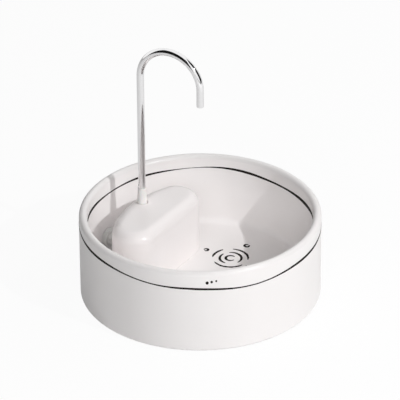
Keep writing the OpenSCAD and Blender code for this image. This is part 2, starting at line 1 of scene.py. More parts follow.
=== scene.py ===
# %% [markdown]
# # A glazed pet water fountain
#
# The object is a low, round bowl in white glaze. A rounded cover in the same glaze stands at
# the back and hides a small pump. A thin polished tube rises through the cover, bends over
# like a swan's neck, and lets the water fall back into the bowl.
#
# The CAD model is loaded first. It is the frame: it fixes every size and every joint, and the
# pieces made here are fitted to it. Lengths in this file are millimetres until a mesh is made.

# %% Load the CAD frame
import json
import math

import bmesh
import bpy
import numpy as np
from mathutils import Matrix, Vector


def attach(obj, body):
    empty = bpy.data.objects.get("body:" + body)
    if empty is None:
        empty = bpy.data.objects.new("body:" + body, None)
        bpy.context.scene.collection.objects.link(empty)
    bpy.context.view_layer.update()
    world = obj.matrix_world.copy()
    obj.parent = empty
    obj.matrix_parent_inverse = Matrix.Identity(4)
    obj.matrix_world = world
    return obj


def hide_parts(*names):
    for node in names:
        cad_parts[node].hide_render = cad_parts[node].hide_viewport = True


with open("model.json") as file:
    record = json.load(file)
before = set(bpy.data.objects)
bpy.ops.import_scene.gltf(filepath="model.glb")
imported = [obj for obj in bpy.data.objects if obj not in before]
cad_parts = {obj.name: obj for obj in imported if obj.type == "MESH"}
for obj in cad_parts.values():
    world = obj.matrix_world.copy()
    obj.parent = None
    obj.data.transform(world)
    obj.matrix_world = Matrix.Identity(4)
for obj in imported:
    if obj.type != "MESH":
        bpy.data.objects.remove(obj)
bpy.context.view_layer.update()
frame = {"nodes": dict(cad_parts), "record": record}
nodes = frame["nodes"]
mm = 0.001

# %% [markdown]
# Most places and outer sizes can be read from the CAD pieces. Each piece has a box round it,
# and two small helpers give that box's corners and its middle in millimetres.

# %% Reading sizes from the CAD pieces


def corners_of(node):
    """The lowest and the highest x, y and z of a CAD piece, in millimetres."""
    box = np.array(nodes[node].bound_box) / mm
    return box.min(0).round(3).tolist(), box.max(0).round(3).tolist()


def middle_of(node):
    """The middle of a CAD piece's box, in millimetres."""
    return [round((low + high) / 2, 2) for low, high in zip(*corners_of(node))]


print("cover:", *corners_of("pump_cover"), "- tap sleeve's middle:", middle_of("tap_sleeve"))

# %% [markdown]
# ## The view and the light
#
# A long lens from far away suits a round bowl, because the rim stays an even oval. The camera
# is placed by three plain facts: how far it stands, from how high it looks down, and from
# which side. Then it is aimed, and its lens is set.

# %% The camera
VIEW_TURN = -57.4
VIEW_TILT = 30.7
VIEW_DISTANCE = 3454.6
VIEW_LENS = 326.6
AIM_HEIGHT = 42.8
AIM_RAISE = 0.788
VIEW_ROLL = -0.42


def direction(turn, tilt):
    """The unit vector to something seen at this turn from -Y and this height angle."""
    a, e = math.radians(turn), math.radians(tilt)
    return Vector((math.sin(a) * math.cos(e), -math.cos(a) * math.cos(e), math.sin(e)))


lens = bpy.data.cameras.new("camera")
lens.lens = VIEW_LENS
lens.sensor_width = 36
lens.clip_end = 50
camera = bpy.data.objects.new("camera", lens)
bpy.context.scene.collection.objects.link(camera)
camera.location = (direction(VIEW_TURN, VIEW_TILT) * VIEW_DISTANCE + Vector((0, 0, AIM_HEIGHT))) * mm
aim = direction(VIEW_TURN, VIEW_TILT - AIM_RAISE)
camera.rotation_mode = "QUATERNION"
camera.rotation_quaternion = aim.to_track_quat("Z", "Y") @ Matrix.Rotation(
    math.radians(VIEW_ROLL), 4, "Z").to_quaternion()
bpy.context.scene.camera = camera
print("camera at", [round(v, 3) for v in camera.location])

# %% [markdown]
# Glossy white on white needs a key light from one side, so that the round wall shades off.
# Large soft fills all round keep the shaded sides pale, and the strongest of them stands over
# the camera. The power of each lamp is worked out from its distance, so that it can be moved
# without the bowl turning darker. The fills aren't seen in the polished tube.
#
# What gives a polished tube its look is dark things around it. Two dark cards, one at each
# side of the camera, draw the black streaks along the tube. Only reflections see them.

# %% Lamps and cards
LAMP_DISTANCE = 1800
LAMP_TARGET = (0, 0, 40)
# Turn and tilt in degrees, size in millimetres, level as a share of full white
KEY_TURN, KEY_TILT, KEY_SIZE, KEY_LEVEL = -8.4, 38.2, 42, 0.45
FILL_SIZE = 1400
FILLS = (("front_fill", VIEW_TURN, 33, 0.35), ("left_fill", -92, 33, 0.09),
         ("side_fill", 30, 50, 0.15), ("back_fill", 75, 30, 0.22), ("far_fill", 122, 40, 0.06))
# Turn, tilt, and how many degrees a card reaches to each side, and up and down
CARDS = (("card_left", VIEW_TURN - 51, 36, 37, 36), ("card_right", VIEW_TURN + 80, 25, 30, 38))


def aimed(thing, turn, tilt, distance):
    """Sets an object at this turn, height angle and distance, with its -Z to the bowl."""
    way = direction(turn, tilt)
    bpy.context.scene.collection.objects.link(thing)
    thing.location = (way * distance + Vector(LAMP_TARGET)) * mm
    thing.rotation_mode = "QUATERNION"
    thing.rotation_quaternion = way.to_track_quat("Z", "Y")
    return thing


def soft_box(name, turn, tilt, size, level, mirrored=False):
    """A round area light that gives `level` times full white on a face turned to it."""
    lamp = bpy.data.lights.new(name, "AREA")
    lamp.shape = "DISK"
    lamp.size = size * mm
    lamp.energy = level * math.pi * math.pi * (LAMP_DISTANCE * mm) ** 2
    box = aimed(bpy.data.objects.new(name, lamp), turn, tilt, LAMP_DISTANCE)
    box.visible_glossy = mirrored
    return box


def dark_card(name, turn, tilt, half_width, half_height):
    """A dark sheet of this many degrees each way that only reflections see."""
    x, y = (math.tan(math.radians(v)) * LAMP_DISTANCE * mm for v in (half_width, half_height))
    mesh = bpy.data.meshes.new(name)
    mesh.from_pydata([(-x, -y, 0), (x, -y, 0), (x, y, 0), (-x, y, 0)], [], [(0, 1, 2, 3)])
    card = aimed(bpy.data.objects.new(name, mesh), turn, tilt, LAMP_DISTANCE)
    card.visible_camera = card.visible_diffuse = card.visible_shadow = False
    card.visible_transmission = False
    mesh.materials.append(card_black)
    return card


print("lamps stand", LAMP_DISTANCE / 1000, "m from the bowl")

# %% Setting the lamps and the cards
key = soft_box("key_light", KEY_TURN, KEY_TILT, KEY_SIZE, KEY_LEVEL, mirrored=True)
for name, turn, tilt, level in FILLS:
    soft_box(name, turn, tilt, FILL_SIZE, level)
card_black = bpy.data.materials.new("card_black")
card_black.use_nodes = True
card_shader = card_black.node_tree.nodes["Principled BSDF"]
card_shader.inputs["Base Color"].default_value = (0, 0, 0, 1)
card_shader.inputs["Roughness"].default_value = 1
for card in CARDS:
    dark_card(*card)
print("key power", round(key.data.energy, 1), "W")

# %% [markdown]
# Node trees for finishes and for shapes both need arithmetic. Written node by node it is long
# and hard to read. A `Wire` holds one socket, and a plain sign such as + or * between wires
# adds the Math node. It works in a material and in Geometry Nodes alike.

# %% Arithmetic on sockets


class Wire:
    """A socket that plain arithmetic joins with numbers and with other wires."""

    def __init__(self, tree, socket):
        self.tree = tree
        self.socket = socket

    def maths(self, operation, *others):
        """Adds a Math node with this wire first and the others after it."""
        made = self.tree.nodes.new("ShaderNodeMath")
        made.operation = operation
        for place, value in enumerate((self,) + others):
            connect(self.tree, value, made.inputs[place])
        return Wire(self.tree, made.outputs[0])

    def __add__(self, other):
        return self.maths("ADD", other)

    def __sub__(self, other):
        return self.maths("SUBTRACT", other)

    def __mul__(self, other):
        return self.maths("MULTIPLY", other)

    def __truediv__(self, other):
        return self.maths("DIVIDE", other)

    def below(self, level):
        return self.maths("LESS_THAN", level)

    def sin(self):
        return self.maths("SINE")

    def cos(self):
        return self.maths("COSINE")


def connect(tree, value, socket):
    """Links a wire or an output to a socket, or sets the socket to a plain value."""
    if isinstance(value, Wire):
        tree.links.new(value.socket, socket)
    elif isinstance(value, bpy.types.NodeSocket):
        tree.links.new(value, socket)
    else:
        socket.default_value = value


def add_node(tree, kind, inputs=None, out=0, **settings):
    """Adds a node, sets it, feeds its inputs and returns one output as a wire."""
    made = tree.nodes.new(kind)
    for name, value in settings.items():
        setattr(made, name, value)
    for name, value in (inputs or {}).items():
        connect(tree, value, made.inputs[name])
    return Wire(tree, made.outputs[out])


print("a Wire can:", [name for name in vars(Wire) if not name.startswith("_")])

# %% [markdown]
# ## Finishes
#
# Every finish is a Principled shader with a few nodes in front of it. `new_finish` makes the
# shader and sets what is even all over. The places of grain and spots come from the object's
# own coordinates, in metres, so a texture scale of 1000 repeats about once a millimetre.

# %% A finish and its parts


def new_finish(name, colour, roughness, **sockets):
    """A material with a Principled shader. Returns the material, its tree and its shader."""
    made = bpy.data.materials.new(name)
    made.use_nodes = True
    shader = made.node_tree.nodes["Principled BSDF"]
    shader.inputs["Base Color"].default_value = (*colour, 1)
    shader.inputs["Roughness"].default_value = roughness
    for socket, value in sockets.items():
        shader.inputs[socket.replace("_", " ")].default_value = value
    made.diffuse_color = (*colour, 1)
    return made, made.node_tree, shader


def place_in(tree):
    """The object's own coordinates."""
    return add_node(tree, "ShaderNodeTexCoord", out="Object")


def split(tree, vector):
    """The X, Y and Z of a vector as three wires."""
    made = tree.nodes.new("ShaderNodeSeparateXYZ")
    connect(tree, vector, made.inputs[0])
    return [Wire(tree, made.outputs[k]) for k in range(3)]


def noise(tree, where, scale, detail):
    """Soft noise from 0 to 1 that repeats about this many times over a length of one."""
    return add_node(tree, "ShaderNodeTexNoise", {
        "Vector": where, "Scale": scale, "Detail": detail}, out="Fac")


def cells(tree, where, scale):
    """The distance to the middle of the nearest of many small cells."""
    return add_node(tree, "ShaderNodeTexVoronoi", {"Vector": where, "Scale": scale},
                    out="Distance")


def between(tree, value, low, high, to_low=0.0, to_high=1.0):
    """Maps a value from one range to another, and keeps it inside."""
    return add_node(tree, "ShaderNodeMapRange", {
        "Value": value, "From Min": low, "From Max": high, "To Min": to_low, "To Max": to_high})


def blend_colours(tree, share, first, second):
    """The first colour at share 0, the second at share 1."""
    made = tree.nodes.new("ShaderNodeMix")
    made.data_type = "RGBA"
    connect(tree, share, made.inputs[0])
    for socket, value in ((made.inputs[6], first), (made.inputs[7], second)):
        connect(tree, value if isinstance(value, Wire) else (*value, 1), socket)
    return Wire(tree, made.outputs[2])


def relief(tree, shader, height, depth, under=None):
    """Feeds a bump of the given depth in millimetres to the shader, over another if given."""
    inputs = {"Height": height, "Distance": depth * mm, "Strength": 1.0}
    if under is not None:
        inputs["Normal"] = under
    bump = add_node(tree, "ShaderNodeBump", inputs)
    connect(tree, bump, shader.inputs["Normal"])
    return bump


print("finish parts:", [part.__name__ for part in (
    new_finish, place_in, split, noise, cells, between, blend_colours, relief)])

# %% [markdown]
# ** White glaze.** Stoneware is dipped in a milky glaze and fired. The coat is silky but never
# quite flat: it has a faint orange peel, and pools a little. Over an upper rounded edge, and on
# the outside of the bowl's wall, painted shade makes it a touch greyer. The mesh says where, as
# a number from 0 to 1 at each point, and the finish reads it. The cover's glaze is a touch
# brighter and warmer than the bowl's: painted light that makes up for how the cover is lit.
# Where the foot stood on the kiln shelf there is no glaze, and the clay is matt and warm.

# %% White glaze
# Each glaze has its colour, the colour where it pools, and the greyer colour of its painted shade
BOWL_GLAZE = (0.930, 0.906, 0.902), (0.918, 0.890, 0.883), (0.800, 0.778, 0.773)
# The cover's colours are painted light: the bowl's glaze made brighter and warmer for how the cover
# is lit
COVER_GLAZE = (0.950, 0.912, 0.907), (0.938, 0.896, 0.888), (0.812, 0.775, 0.769)
CLAY = (0.70, 0.63, 0.55)
# Heights in millimetres under which the foot is bare
BOWL_BARE, COVER_BARE = 1.75, 12.1


def glaze_finish(name, bare_below, colours):
    """Glaze in its three colours, over clay that is bare below this height."""
    white, pool, painted_shade_colour = colours
    made, tree, shader = new_finish(name, white, 0.3, Coat_Weight=0.3, Coat_Roughness=0.14,
                                    Coat_IOR=1.4, IOR=1.4)
    where = place_in(tree)
    pooled = between(tree, noise(tree, where, 26, 3), 0.3, 0.7)
    body = blend_colours(tree, pooled, white, pool)
    # Painted shade: the greyer colour, by the share that the mesh holds at each point
    thin = add_node(tree, "ShaderNodeAttribute", out="Fac", attribute_name="thin")
    body = blend_colours(tree, thin, body, painted_shade_colour)
    gloss = between(tree, noise(tree, where, 60, 2), 0.3, 0.7, 0.29, 0.36)
    height = split(tree, where)[2]
    ragged = height + noise(tree, where, 300, 2) * (0.5 * mm)
    bare = ragged.below(bare_below * mm)
    body = blend_colours(tree, bare, body, CLAY)
    gloss = add_node(tree, "ShaderNodeMix", {0: bare, 2: gloss, 3: 0.85})
    connect(tree, body, shader.inputs["Base Color"])
    connect(tree, gloss, shader.inputs["Roughness"])
    peel = relief(tree, shader, noise(tree, where, 240, 1), 0.006)
    relief(tree, shader, noise(tree, where, 45, 1), 0.05, under=peel)
    return made


glaze_bowl = glaze_finish("glaze_bowl", BOWL_BARE, BOWL_GLAZE)
glaze_cover = glaze_finish("glaze_cover", COVER_BARE, COVER_GLAZE)
print("glaze:", [m.name for m in (glaze_bowl, glaze_cover)])

# %% [markdown]
# **Polished tube.** The tube is drawn, bent and buffed, then plated. Buffing leaves very fine
# lines along the tube and a faint haze. Both are a change of roughness, not of colour.

# %% Polished tube
PLATING = (0.87, 0.865, 0.87)


def polished_finish():
    """Buffed metal with fine lines along the tube and a faint haze."""
    made, tree, shader = new_finish("polished_tube", PLATING, 0.05, Metallic=1.0)
    where = place_in(tree)
    stretch = add_node(tree, "ShaderNodeMapping", {"Vector": where, "Scale": (1, 1, 0.04)})
    lines = noise(tree, stretch, 4200, 2)
    haze = noise(tree, where, 55, 3)
    gloss = between(tree, lines * 0.35 + haze * 0.65, 0.35, 0.65, 0.03, 0.085)
    connect(tree, gloss, shader.inputs["Roughness"])
    relief(tree, shader, lines, 0.0015)
    return made


polished = polished_finish()
print("polished:", polished.name)

# %% [markdown]
# **Soft and moulded parts.** Silicone is satin and a little see-through, moulded plastic has
# a fine spark-eroded grain, rubber is dull. One function makes the whole family: a colour, a
# roughness, a grain size and a grain depth.

# %% Moulded finishes
DARKER_SHARE = 0.94


def moulded_finish(name, colour, roughness, grain, depth, **sockets):
    """A soft or moulded surface, with grain of this size and depth in millimetres."""
    made, tree, shader = new_finish(name, colour, roughness, **sockets)
    where = place_in(tree)
    fine = noise(tree, where, 1000 / grain, 2)
    broad = noise(tree, where, 40, 2)
    darker = tuple(c * DARKER_SHARE for c in colour)
    connect(tree, blend_colours(tree, between(tree, broad, 0.3, 0.7), colour, darker),
            shader.inputs["Base Color"])
    connect(tree, between(tree, fine * 0.5 + broad * 0.5, 0.3, 0.7, roughness * 0.88,
                          min(1.0, roughness * 1.12)), shader.inputs["Roughness"])
    relief(tree, shader, fine, depth)
    return made


finishes = {
    "glaze_white": glaze_cover,
    "chrome_tube": polished,
    "silicone_white": moulded_finish("silicone_white", (0.87, 0.84, 0.83), 0.38, 0.9, 0.006,
                                     Subsurface_Weight=0.12, Subsurface_Scale=0.002),
    "silicone_grey": moulded_finish("silicone_grey", (0.33, 0.33, 0.34), 0.55, 0.6, 0.012),
    "seal_black": moulded_finish("seal_black", (0.03, 0.03, 0.03), 0.5, 0.4, 0.008),
    "pump_plastic": moulded_finish("pump_plastic", (0.055, 0.056, 0.06), 0.48, 0.35, 0.02),
    "white_plastic": moulded_finish("white_plastic", (0.80, 0.80, 0.78), 0.34, 0.5, 0.006),
    "gate_blue": moulded_finish("gate_blue", (0.09, 0.26, 0.48), 0.34, 0.5, 0.006),
    "potting": moulded_finish("potting", (0.02, 0.02, 0.021), 0.16, 6.0, 0.05),
    "core_steel": moulded_finish("core_steel", (0.42, 0.43, 0.45), 0.4, 0.2, 0.006, Metallic=1.0),
    "winding": moulded_finish("winding", (0.70, 0.30, 0.12), 0.33, 0.2, 0.006, Metallic=1.0),
    "magnet": moulded_finish("magnet", (0.07, 0.07, 0.075), 0.6, 0.25, 0.015),
    "shaft_ceramic": moulded_finish("shaft_ceramic", (0.85, 0.82, 0.74), 0.22, 0.3, 0.002),
    "contact_metal": moulded_finish("contact_metal", (0.84, 0.66, 0.30), 0.22, 0.3, 0.002,
                                    Metallic=1.0),
    "lead_jacket": moulded_finish("lead_jacket", (0.045, 0.045, 0.047), 0.42, 0.5, 0.01),
}
print(len(finishes), "finishes so far")

# %% [markdown]
# ** Filter media.** Felt is a mat of short fibres, foam is all pores, and carbon is a bed of
# dull grains. Here the relief carries the look, so it is much deeper than on plastic, and
# painted shade follows the relief.

# %% Filter finishes


def felt_finish():
    """Short fibres with a deep relief, and painted shade that follows it."""
    made, tree, shader = new_finish("felt", (0.84, 0.82, 0.77), 0.95, Sheen_Weight=0.4,
                                    Sheen_Roughness=0.5)
    where = place_in(tree)
    bent = add_node(tree, "ShaderNodeMix", {0: 0.004, 4: where, 5: add_node(
        tree, "ShaderNodeTexNoise", {"Vector": where, "Scale": 500}, out="Color")},
        out=1, data_type="VECTOR")
    fibres = noise(tree, add_node(tree, "ShaderNodeMapping", {
        "Vector": bent, "Scale": (1, 0.15, 1)}), 2600, 3)
    # Painted shade: the darker tone is laid by the same pattern as the relief
    connect(tree, blend_colours(tree, fibres, (0.88, 0.86, 0.81), (0.70, 0.67, 0.60)),
            shader.inputs["Base Color"])
    relief(tree, shader, fibres, 0.25)
    return made


def pored_finish(name, colour, pore, depth):
    """Foam or grains, with pores of this size and depth in millimetres, and painted shade in the
    pores.
    """
    made, tree, shader = new_finish(name, colour, 0.9)
    where = place_in(tree)
    cell = cells(tree, where, 1000 / pore)
    wall = between(tree, cell, 0.25, 0.65)
    # Painted shade: the pores are painted dark
    connect(tree, blend_colours(tree, wall, tuple(c * 0.25 for c in colour), colour),
            shader.inputs["Base Color"])
    relief(tree, shader, wall, depth)
    return made


finishes["felt"] = felt_finish()
finishes["sponge"] = pored_finish("sponge", (0.13, 0.13, 0.14), 1.1, 0.4)
finishes["carbon"] = pored_finish("carbon", (0.03, 0.03, 0.03), 0.9, 0.3)
slot_of = {s["node"]: s["material_slot"] for s in frame["record"]["subparts"]}
for name, node in nodes.items():
    for holder in node.material_slots:
        holder.material = finishes[slot_of[name]]
print("all CAD nodes have a finish:", all(s in finishes for s in slot_of.values()))

# %% [markdown]
# ## Shapes
#
# Turned things are drawn as an outline and swept about an axis. The outline is a list of
# corners, each with its own radius, because every real edge is a little round. A radius is
# what catches the light and makes an edge look made and not drawn.

# %% Outlines


def rounded(corners, steps):
    """The outline through the corners (x, y, radius), each corner rounded to its radius."""
    points = []
    for place, (x, y, radius) in enumerate(corners):
        corner = Vector((x, y))
        if radius <= 0:
            points.append((x, y))
            continue
        back = (Vector(corners[place - 1][:2]) - corner).normalized()
        on = (Vector(corners[(place + 1) % len(corners)][:2]) - corner).normalized()
        half = back.angle(on) / 2
        centre = corner + (back + on).normalized() * (radius / math.sin(half))
        start = corner + back * (radius / math.tan(half)) - centre
        end = corner + on * (radius / math.tan(half)) - centre
        first = math.atan2(start.y, start.x)
        turn = (math.atan2(end.y, end.x) - first + math.pi) % (2 * math.pi) - math.pi
        for k in range(steps + 1):
            a = first + turn * k / steps
            points.append((centre.x + radius * math.cos(a), centre.y + radius * math.sin(a)))
    return points


def evenly(points, step, closed=True):
    """Adds points so that no stretch of the outline is longer than the step."""
    spread = []
    for place, start in enumerate(points):
        if place == len(points) - 1 and not closed:
            spread.append(start)
            break
        end = points[(place + 1) % len(points)]
        count = max(1, math.ceil(math.dist(start, end) / step))
        spread += [(start[0] + (end[0] - start[0]) * k / count,
                    start[1] + (end[1] - start[1]) * k / count) for k in range(count)]
    return spread


square = [(0, 0, 2), (10, 0, 2), (10, 10, 2), (0, 10, 2)]
print("a square with round corners has", len(rounded(square, steps=4)), "points")

# %% [markdown]
# A mesh is a list of points and a list of faces that name them. Swept shapes have their points
# in rows, so one function lays quads between rows. Points that fall together, as on the axis,
# are merged, and all faces are turned outward.

# %% Meshes from rows of points


def mesh_piece(name, points, faces):
    """An object whose mesh has these points, in millimetres, with its faces outward."""
    mesh = bpy.data.meshes.new(name)
    work = bmesh.new()
    made = [work.verts.new([v * mm for v in p]) for p in points]
    for face in faces:
        if len(set(face)) == len(face):
            work.faces.new([made[k] for k in face])
    bmesh.ops.remove_doubles(work, verts=work.verts, dist=0.002 * mm)
    bmesh.ops.dissolve_degenerate(work, edges=work.edges, dist=0.001 * mm)
    bmesh.ops.recalc_face_normals(work, faces=work.faces)
    work.to_mesh(mesh)
    work.free()
    piece = bpy.data.objects.new(name, mesh)
    bpy.context.scene.collection.objects.link(piece)
    return piece


def grid_faces(rows, columns, close_rows):
    """Quads between closed rows of points, each row with the same number of columns."""
    faces = []
    for r in range(rows if close_rows else rows - 1):
        for c in range(columns):
            r1, c1 = (r + 1) % rows, (c + 1) % columns
            faces.append((r * columns + c, r * columns + c1, r1 * columns + c1, r1 * columns + c))
    return faces


def turned(name, outline, sides, closed=True, centre=(0, 0, 0), axis="Z", wobble=None):
    """Sweeps an outline of (radius, height) about the Z or Y axis through the centre."""
    points = []
    for radius, height in outline:
        for k in range(sides):
            a = 2 * math.pi * k / sides
            r = radius * (wobble(a, height) if wobble else 1)
            place = {"Z": (r * math.cos(a), r * math.sin(a), height),
                     "Y": (r * math.sin(a), height, r * math.cos(a))}[axis]
            points.append([place[n] + centre[n] for n in range(3)])
    return mesh_piece(name, points, grid_faces(len(outline), sides, closed))


print("faces of 3 rows of 4 points:", len(grid_faces(3, 4, close_rows=False)))

# %% [markdown]
# Modifiers cut, thicken and round a piece, but in the end it should be a plain mesh. Then it is
# hung on the body that it moves with, gets its material, and the CAD pieces that it stands
# for are hidden.

# %% Cutting and hanging a piece


def settle(piece):
    """Turns an object's modifiers into plain mesh and removes them."""
    view = bpy.context.evaluated_depsgraph_get()
    mesh = bpy.data.meshes.new_from_object(piece.evaluated_get(view))
    piece.modifiers.clear()
    piece.data = mesh
    return piece


def carve(piece, *cutters):
    """Cuts solids out of a piece and deletes them."""
    for cutter in cutters:
        cut = piece.modifiers.new("cut", "BOOLEAN")
        cut.operation = "DIFFERENCE"
        cut.solver = "EXACT"
        cut.object = cutter
    settle(piece)
    for cutter in cutters:
        bpy.data.objects.remove(cutter)
    return piece


def hang(piece, body, finish, stands_for=(), crease=35):
    """Smooths a finished piece, gives it its finish and hangs it on its body."""
    piece.data.materials.clear()
    piece.data.materials.append(finish)
    piece.data.shade_smooth()
    piece.data.set_sharp_from_angle(angle=math.radians(crease))
    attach(piece, body)
    if stands_for:
        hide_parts(*stands_for)
    print(f"{piece.name}: {len(piece.data.polygons)} faces on {body}")
    return piece


# %% [markdown]
# Painted shade greys the glaze where a face looks up at a slant, as an upper rounded edge
# does, and not on an upright or a flat face. The share is kept in the mesh, point by point,
# where the glaze finish reads it.

# %% Where the painted shade goes
# The most that slant * (1 - slant squared) comes to
SLANT_PEAK = 0.385


def thin_glaze(piece, share_at):
    """Writes the share of painted shade at each point, from the point's place and normal."""
    shares = piece.data.attributes.new("thin", "FLOAT", "POINT")
    shares.data.foreach_set("value", [share_at(v.co / mm, v.normal) for v in piece.data.vertices])


def over_edge(normal):
    """1 on a face that looks up at a slant, as an upper edge does, 0 on upright and flat ones."""
    slant = max(0.0, min(1.0, normal.z))
    return (slant * (1 - slant ** 2) / SLANT_PEAK) ** 0.7 if 0 < slant < 1 else 0.0


print("thin at 45 degrees:", round(over_edge(Vector((0, 1, 1)).normalized()), 2))

# %% [markdown]
# ## The bowl
#
# A bowl like this is cast in a mould and turned true. Its wall is upright and 8 mm thick, the
# lip is a full round, and a soft radius joins wall and floor so that it wipes clean. It is one
# outline swept about the axis. Cast walls are never perfectly true, so the radius wanders by
# about a tenth of a millimetre, always inwards, so that the bowl stays inside its CAD size.

# %% The bowl
BOWL_TOP, BOWL_WALL, LIP_ROUND, FLOOR_ROUND = 85.6, 8, 3.99, 6.5
FOOT_LAND, RECESS_UP = 16, 4.8
RING_W, RING_CLEAR = 6, 0.1
FOOT_Z = corners_of("bowl")[0][2]
BOWL_R = corners_of("bowl")[1][0]
FLOOR_Z = corners_of("pump_cover")[0][2]
RING_R, _, RING_Z = corners_of("foot_ring")[1]
BOWL_IN_R = BOWL_R - BOWL_WALL
RECESS_R, RECESS_Z = BOWL_R - FOOT_LAND, FOOT_Z + RECESS_UP
GROOVE_R0, GROOVE_R1 = RING_R - RING_W - RING_CLEAR, RING_R + RING_CLEAR
GROOVE_Z = RING_Z + RING_CLEAR


def cast_wobble(angle, height):
    """How much of its radius the cast wall keeps here."""
    lean = 0.4 * math.sin(2 * angle + 0.7) + 0.35 * math.sin(3 * angle + height / 40)
    return 1 - 0.0005 * (2.4 + lean + 0.25 * math.sin(7 * angle + height / 15))


bowl_outline = evenly(rounded([
    (0, RECESS_Z, 0), (RECESS_R, RECESS_Z, 1.5), (RECESS_R, FOOT_Z, 0.8),
    (GROOVE_R0, FOOT_Z, 0.4), (GROOVE_R0, GROOVE_Z, 0.2), (GROOVE_R1, GROOVE_Z, 0.2),
    (GROOVE_R1, FOOT_Z, 0.4), (BOWL_R, FOOT_Z, 2.4), (BOWL_R, BOWL_TOP, LIP_ROUND),
    (BOWL_IN_R, BOWL_TOP, LIP_ROUND), (BOWL_IN_R, FLOOR_Z, FLOOR_ROUND), (0, FLOOR_Z, 0)],
    steps=10), step=7, closed=False)
bowl = turned("bowl_glazed", bowl_outline, sides=256, closed=False, wobble=cast_wobble)
print("bowl outline:", len(bowl_outline), "points")

# %% [markdown]
# The power inlet sits in a stepped hole in the back of the wall: a wide seat for its seal on
# the inside, a narrow bore, and a seat for its flange outside. The hole is a turned shape
# too, about an axis through the wall, and it is cut out of the bowl. Then each point of the
# bowl gets its share of painted shade: on the outside, and where the lip turns over.

# %% The inlet's seat and the painted shade
NUT_R, BORE_R, FLANGE_R, SEAT_EDGE = 10.2, 6.1, 9.3, 0.3
INLET_Z = middle_of("inlet_seal")[2]
SEAL_SEAT, FLANGE_SEAT = corners_of("inlet_seal")[1][1], BOWL_R - 1.5
CUT_START, CUT_END = BOWL_IN_R - 10, BOWL_R + 2
# Painted shade: its share outside and over the lip, and the radius and width over which it comes in
# outside
OUTSIDE_SHADE, LIP_SHADE = 0.55, 0.9
SHADE_START_R, SHADE_OVER, LIP_BAND = BOWL_R - 6, 4, 6


def bowl_thin(at, normal):
    """How much painted shade the bowl's glaze gets at a point: outside the wall, and over the lip."""
    outside = max(0, min(1, (math.hypot(at.x, at.y) - SHADE_START_R) / SHADE_OVER))
    lip = over_edge(normal) * (at.z > BOWL_TOP - LIP_BAND)
    return min(1, max(OUTSIDE_SHADE * outside, LIP_SHADE * lip))


inlet_seat = turned("inlet_seat", rounded([
    (0, CUT_START, 0), (NUT_R, CUT_START, 0), (NUT_R, SEAL_SEAT, SEAT_EDGE),
    (BORE_R, SEAL_SEAT, SEAT_EDGE), (BORE_R, FLANGE_SEAT, SEAT_EDGE),
    (FLANGE_R, FLANGE_SEAT, SEAT_EDGE), (FLANGE_R, CUT_END, 0), (0, CUT_END, 0)], steps=3),
    sides=64, closed=False, centre=(0, 0, INLET_Z), axis="Y")
carve(bowl, inlet_seat)
thin_glaze(bowl, bowl_thin)
hang(bowl, "base", glaze_bowl, ["bowl"])
print("bowl spans", [round(v / mm, 2) for v in bowl.dimensions])

# %% [markdown]
# ## The pump cover
#
# The cover is a cap with a flat top. Its back follows the bowl's wall, its four corners are
# big rounds, and its top edge is a soft round that grows wider along the back. Such a form is
# easy to describe: an outline seen from above, and at each point of it the radius of the top
# edge. The height anywhere then follows from the distance to the outline.
#
# The mesh is built so that its rows run round the hole for the tap, then spread out to the
# edge, down the wall, under the foot and back up inside. That is one closed sheet of quads,
# with no seam and no pole.

# %% The cover's rule
COVER_HALF, COVER_CORNER, COVER_WALL, COVER_TOP = 57.8, 22.5, 4, 4.5
EDGE_FRONT, EDGE_BACK = 11, 15.5
_, COVER_BACK_R, cover_top_z = corners_of("pump_cover")[1]
COVER_H = round(cover_top_z - FLOOR_Z, 3)
TAP_X, TAP_Y, _ = middle_of("tap_sleeve")
TAP_HOLE = 5.4
corner_x = COVER_HALF - COVER_CORNER
corner_y = math.sqrt((COVER_BACK_R - COVER_CORNER) ** 2 - corner_x ** 2)
back_half_angle = math.atan(corner_x / corner_y)


def cover_outline(step, inset=0):
    """Points, outward normals and edge radii round the cover, seen from above."""
    count = round(2 * corner_x / step)
    places = [(-corner_x + 2 * corner_x * k / count, corner_y - COVER_CORNER) for k in range(count)]
    normals = [(0.0, -1.0)] * count
    edges = [EDGE_FRONT] * count
    quarter = math.pi / 2
    for (cx, cy), radius, first, last in (
            ((corner_x, corner_y), COVER_CORNER, -quarter, quarter - back_half_angle),
            ((0, 0), COVER_BACK_R, quarter - back_half_angle, quarter + back_half_angle),
            ((-corner_x, corner_y), COVER_CORNER, quarter + back_half_angle, 3 * quarter)):
        count = round(radius * (last - first) / step)
        for k in range(count):
            a = first + (last - first) * k / count
            places.append((cx + radius * math.cos(a), cy + radius * math.sin(a)))
            normals.append((math.cos(a), math.sin(a)))
            share = min(1, abs(a - quarter) / back_half_angle) if radius == COVER_BACK_R else 1
            edges.append(EDGE_BACK + (EDGE_FRONT - EDGE_BACK) * share ** 3)
    places, normals, edges = (np.array(v, float) for v in (places, normals, edges))
    return places - normals * inset, normals, edges


def cover_height(points, rim, edges, top):
    """The height over the floor at each point inside an outline, from its distance to it."""
    gaps = np.linalg.norm(points[:, None, :] - rim[None, :, :], axis=2)
    nearest = gaps.argmin(1)
    gap, edge = gaps.min(1), edges[nearest]
    rise = np.sqrt(np.maximum(0, edge ** 2 - np.maximum(0, edge - gap) ** 2))
    return np.where(gap >= edge, top, top - edge + rise)


OUTLINE_STEP = 1.25
rim, rim_normals, rim_edges = cover_outline(OUTLINE_STEP)
print("outline points:", len(rim), "- front face at y =", round(float(rim[:, 1].min()), 2))

# %% Rows of points over the cover
HOLE_LIP, FOOT_EDGE, LEAST_EDGE = 0.9, 0.5, 1
TOP_ROWS, INNER_TOP_ROWS, WALL_ROWS, LIP_ROWS, FOOT_ROWS = 34, 18, 16, 5, 4
# A path in to the hole is first cut into this many steps. Then rows are set closer where it
# bends: a turn of one radian counts as much as this many millimetres.
PATH_STEPS, TURN_COST = 400, 14
hub = np.array([TAP_X, TAP_Y])


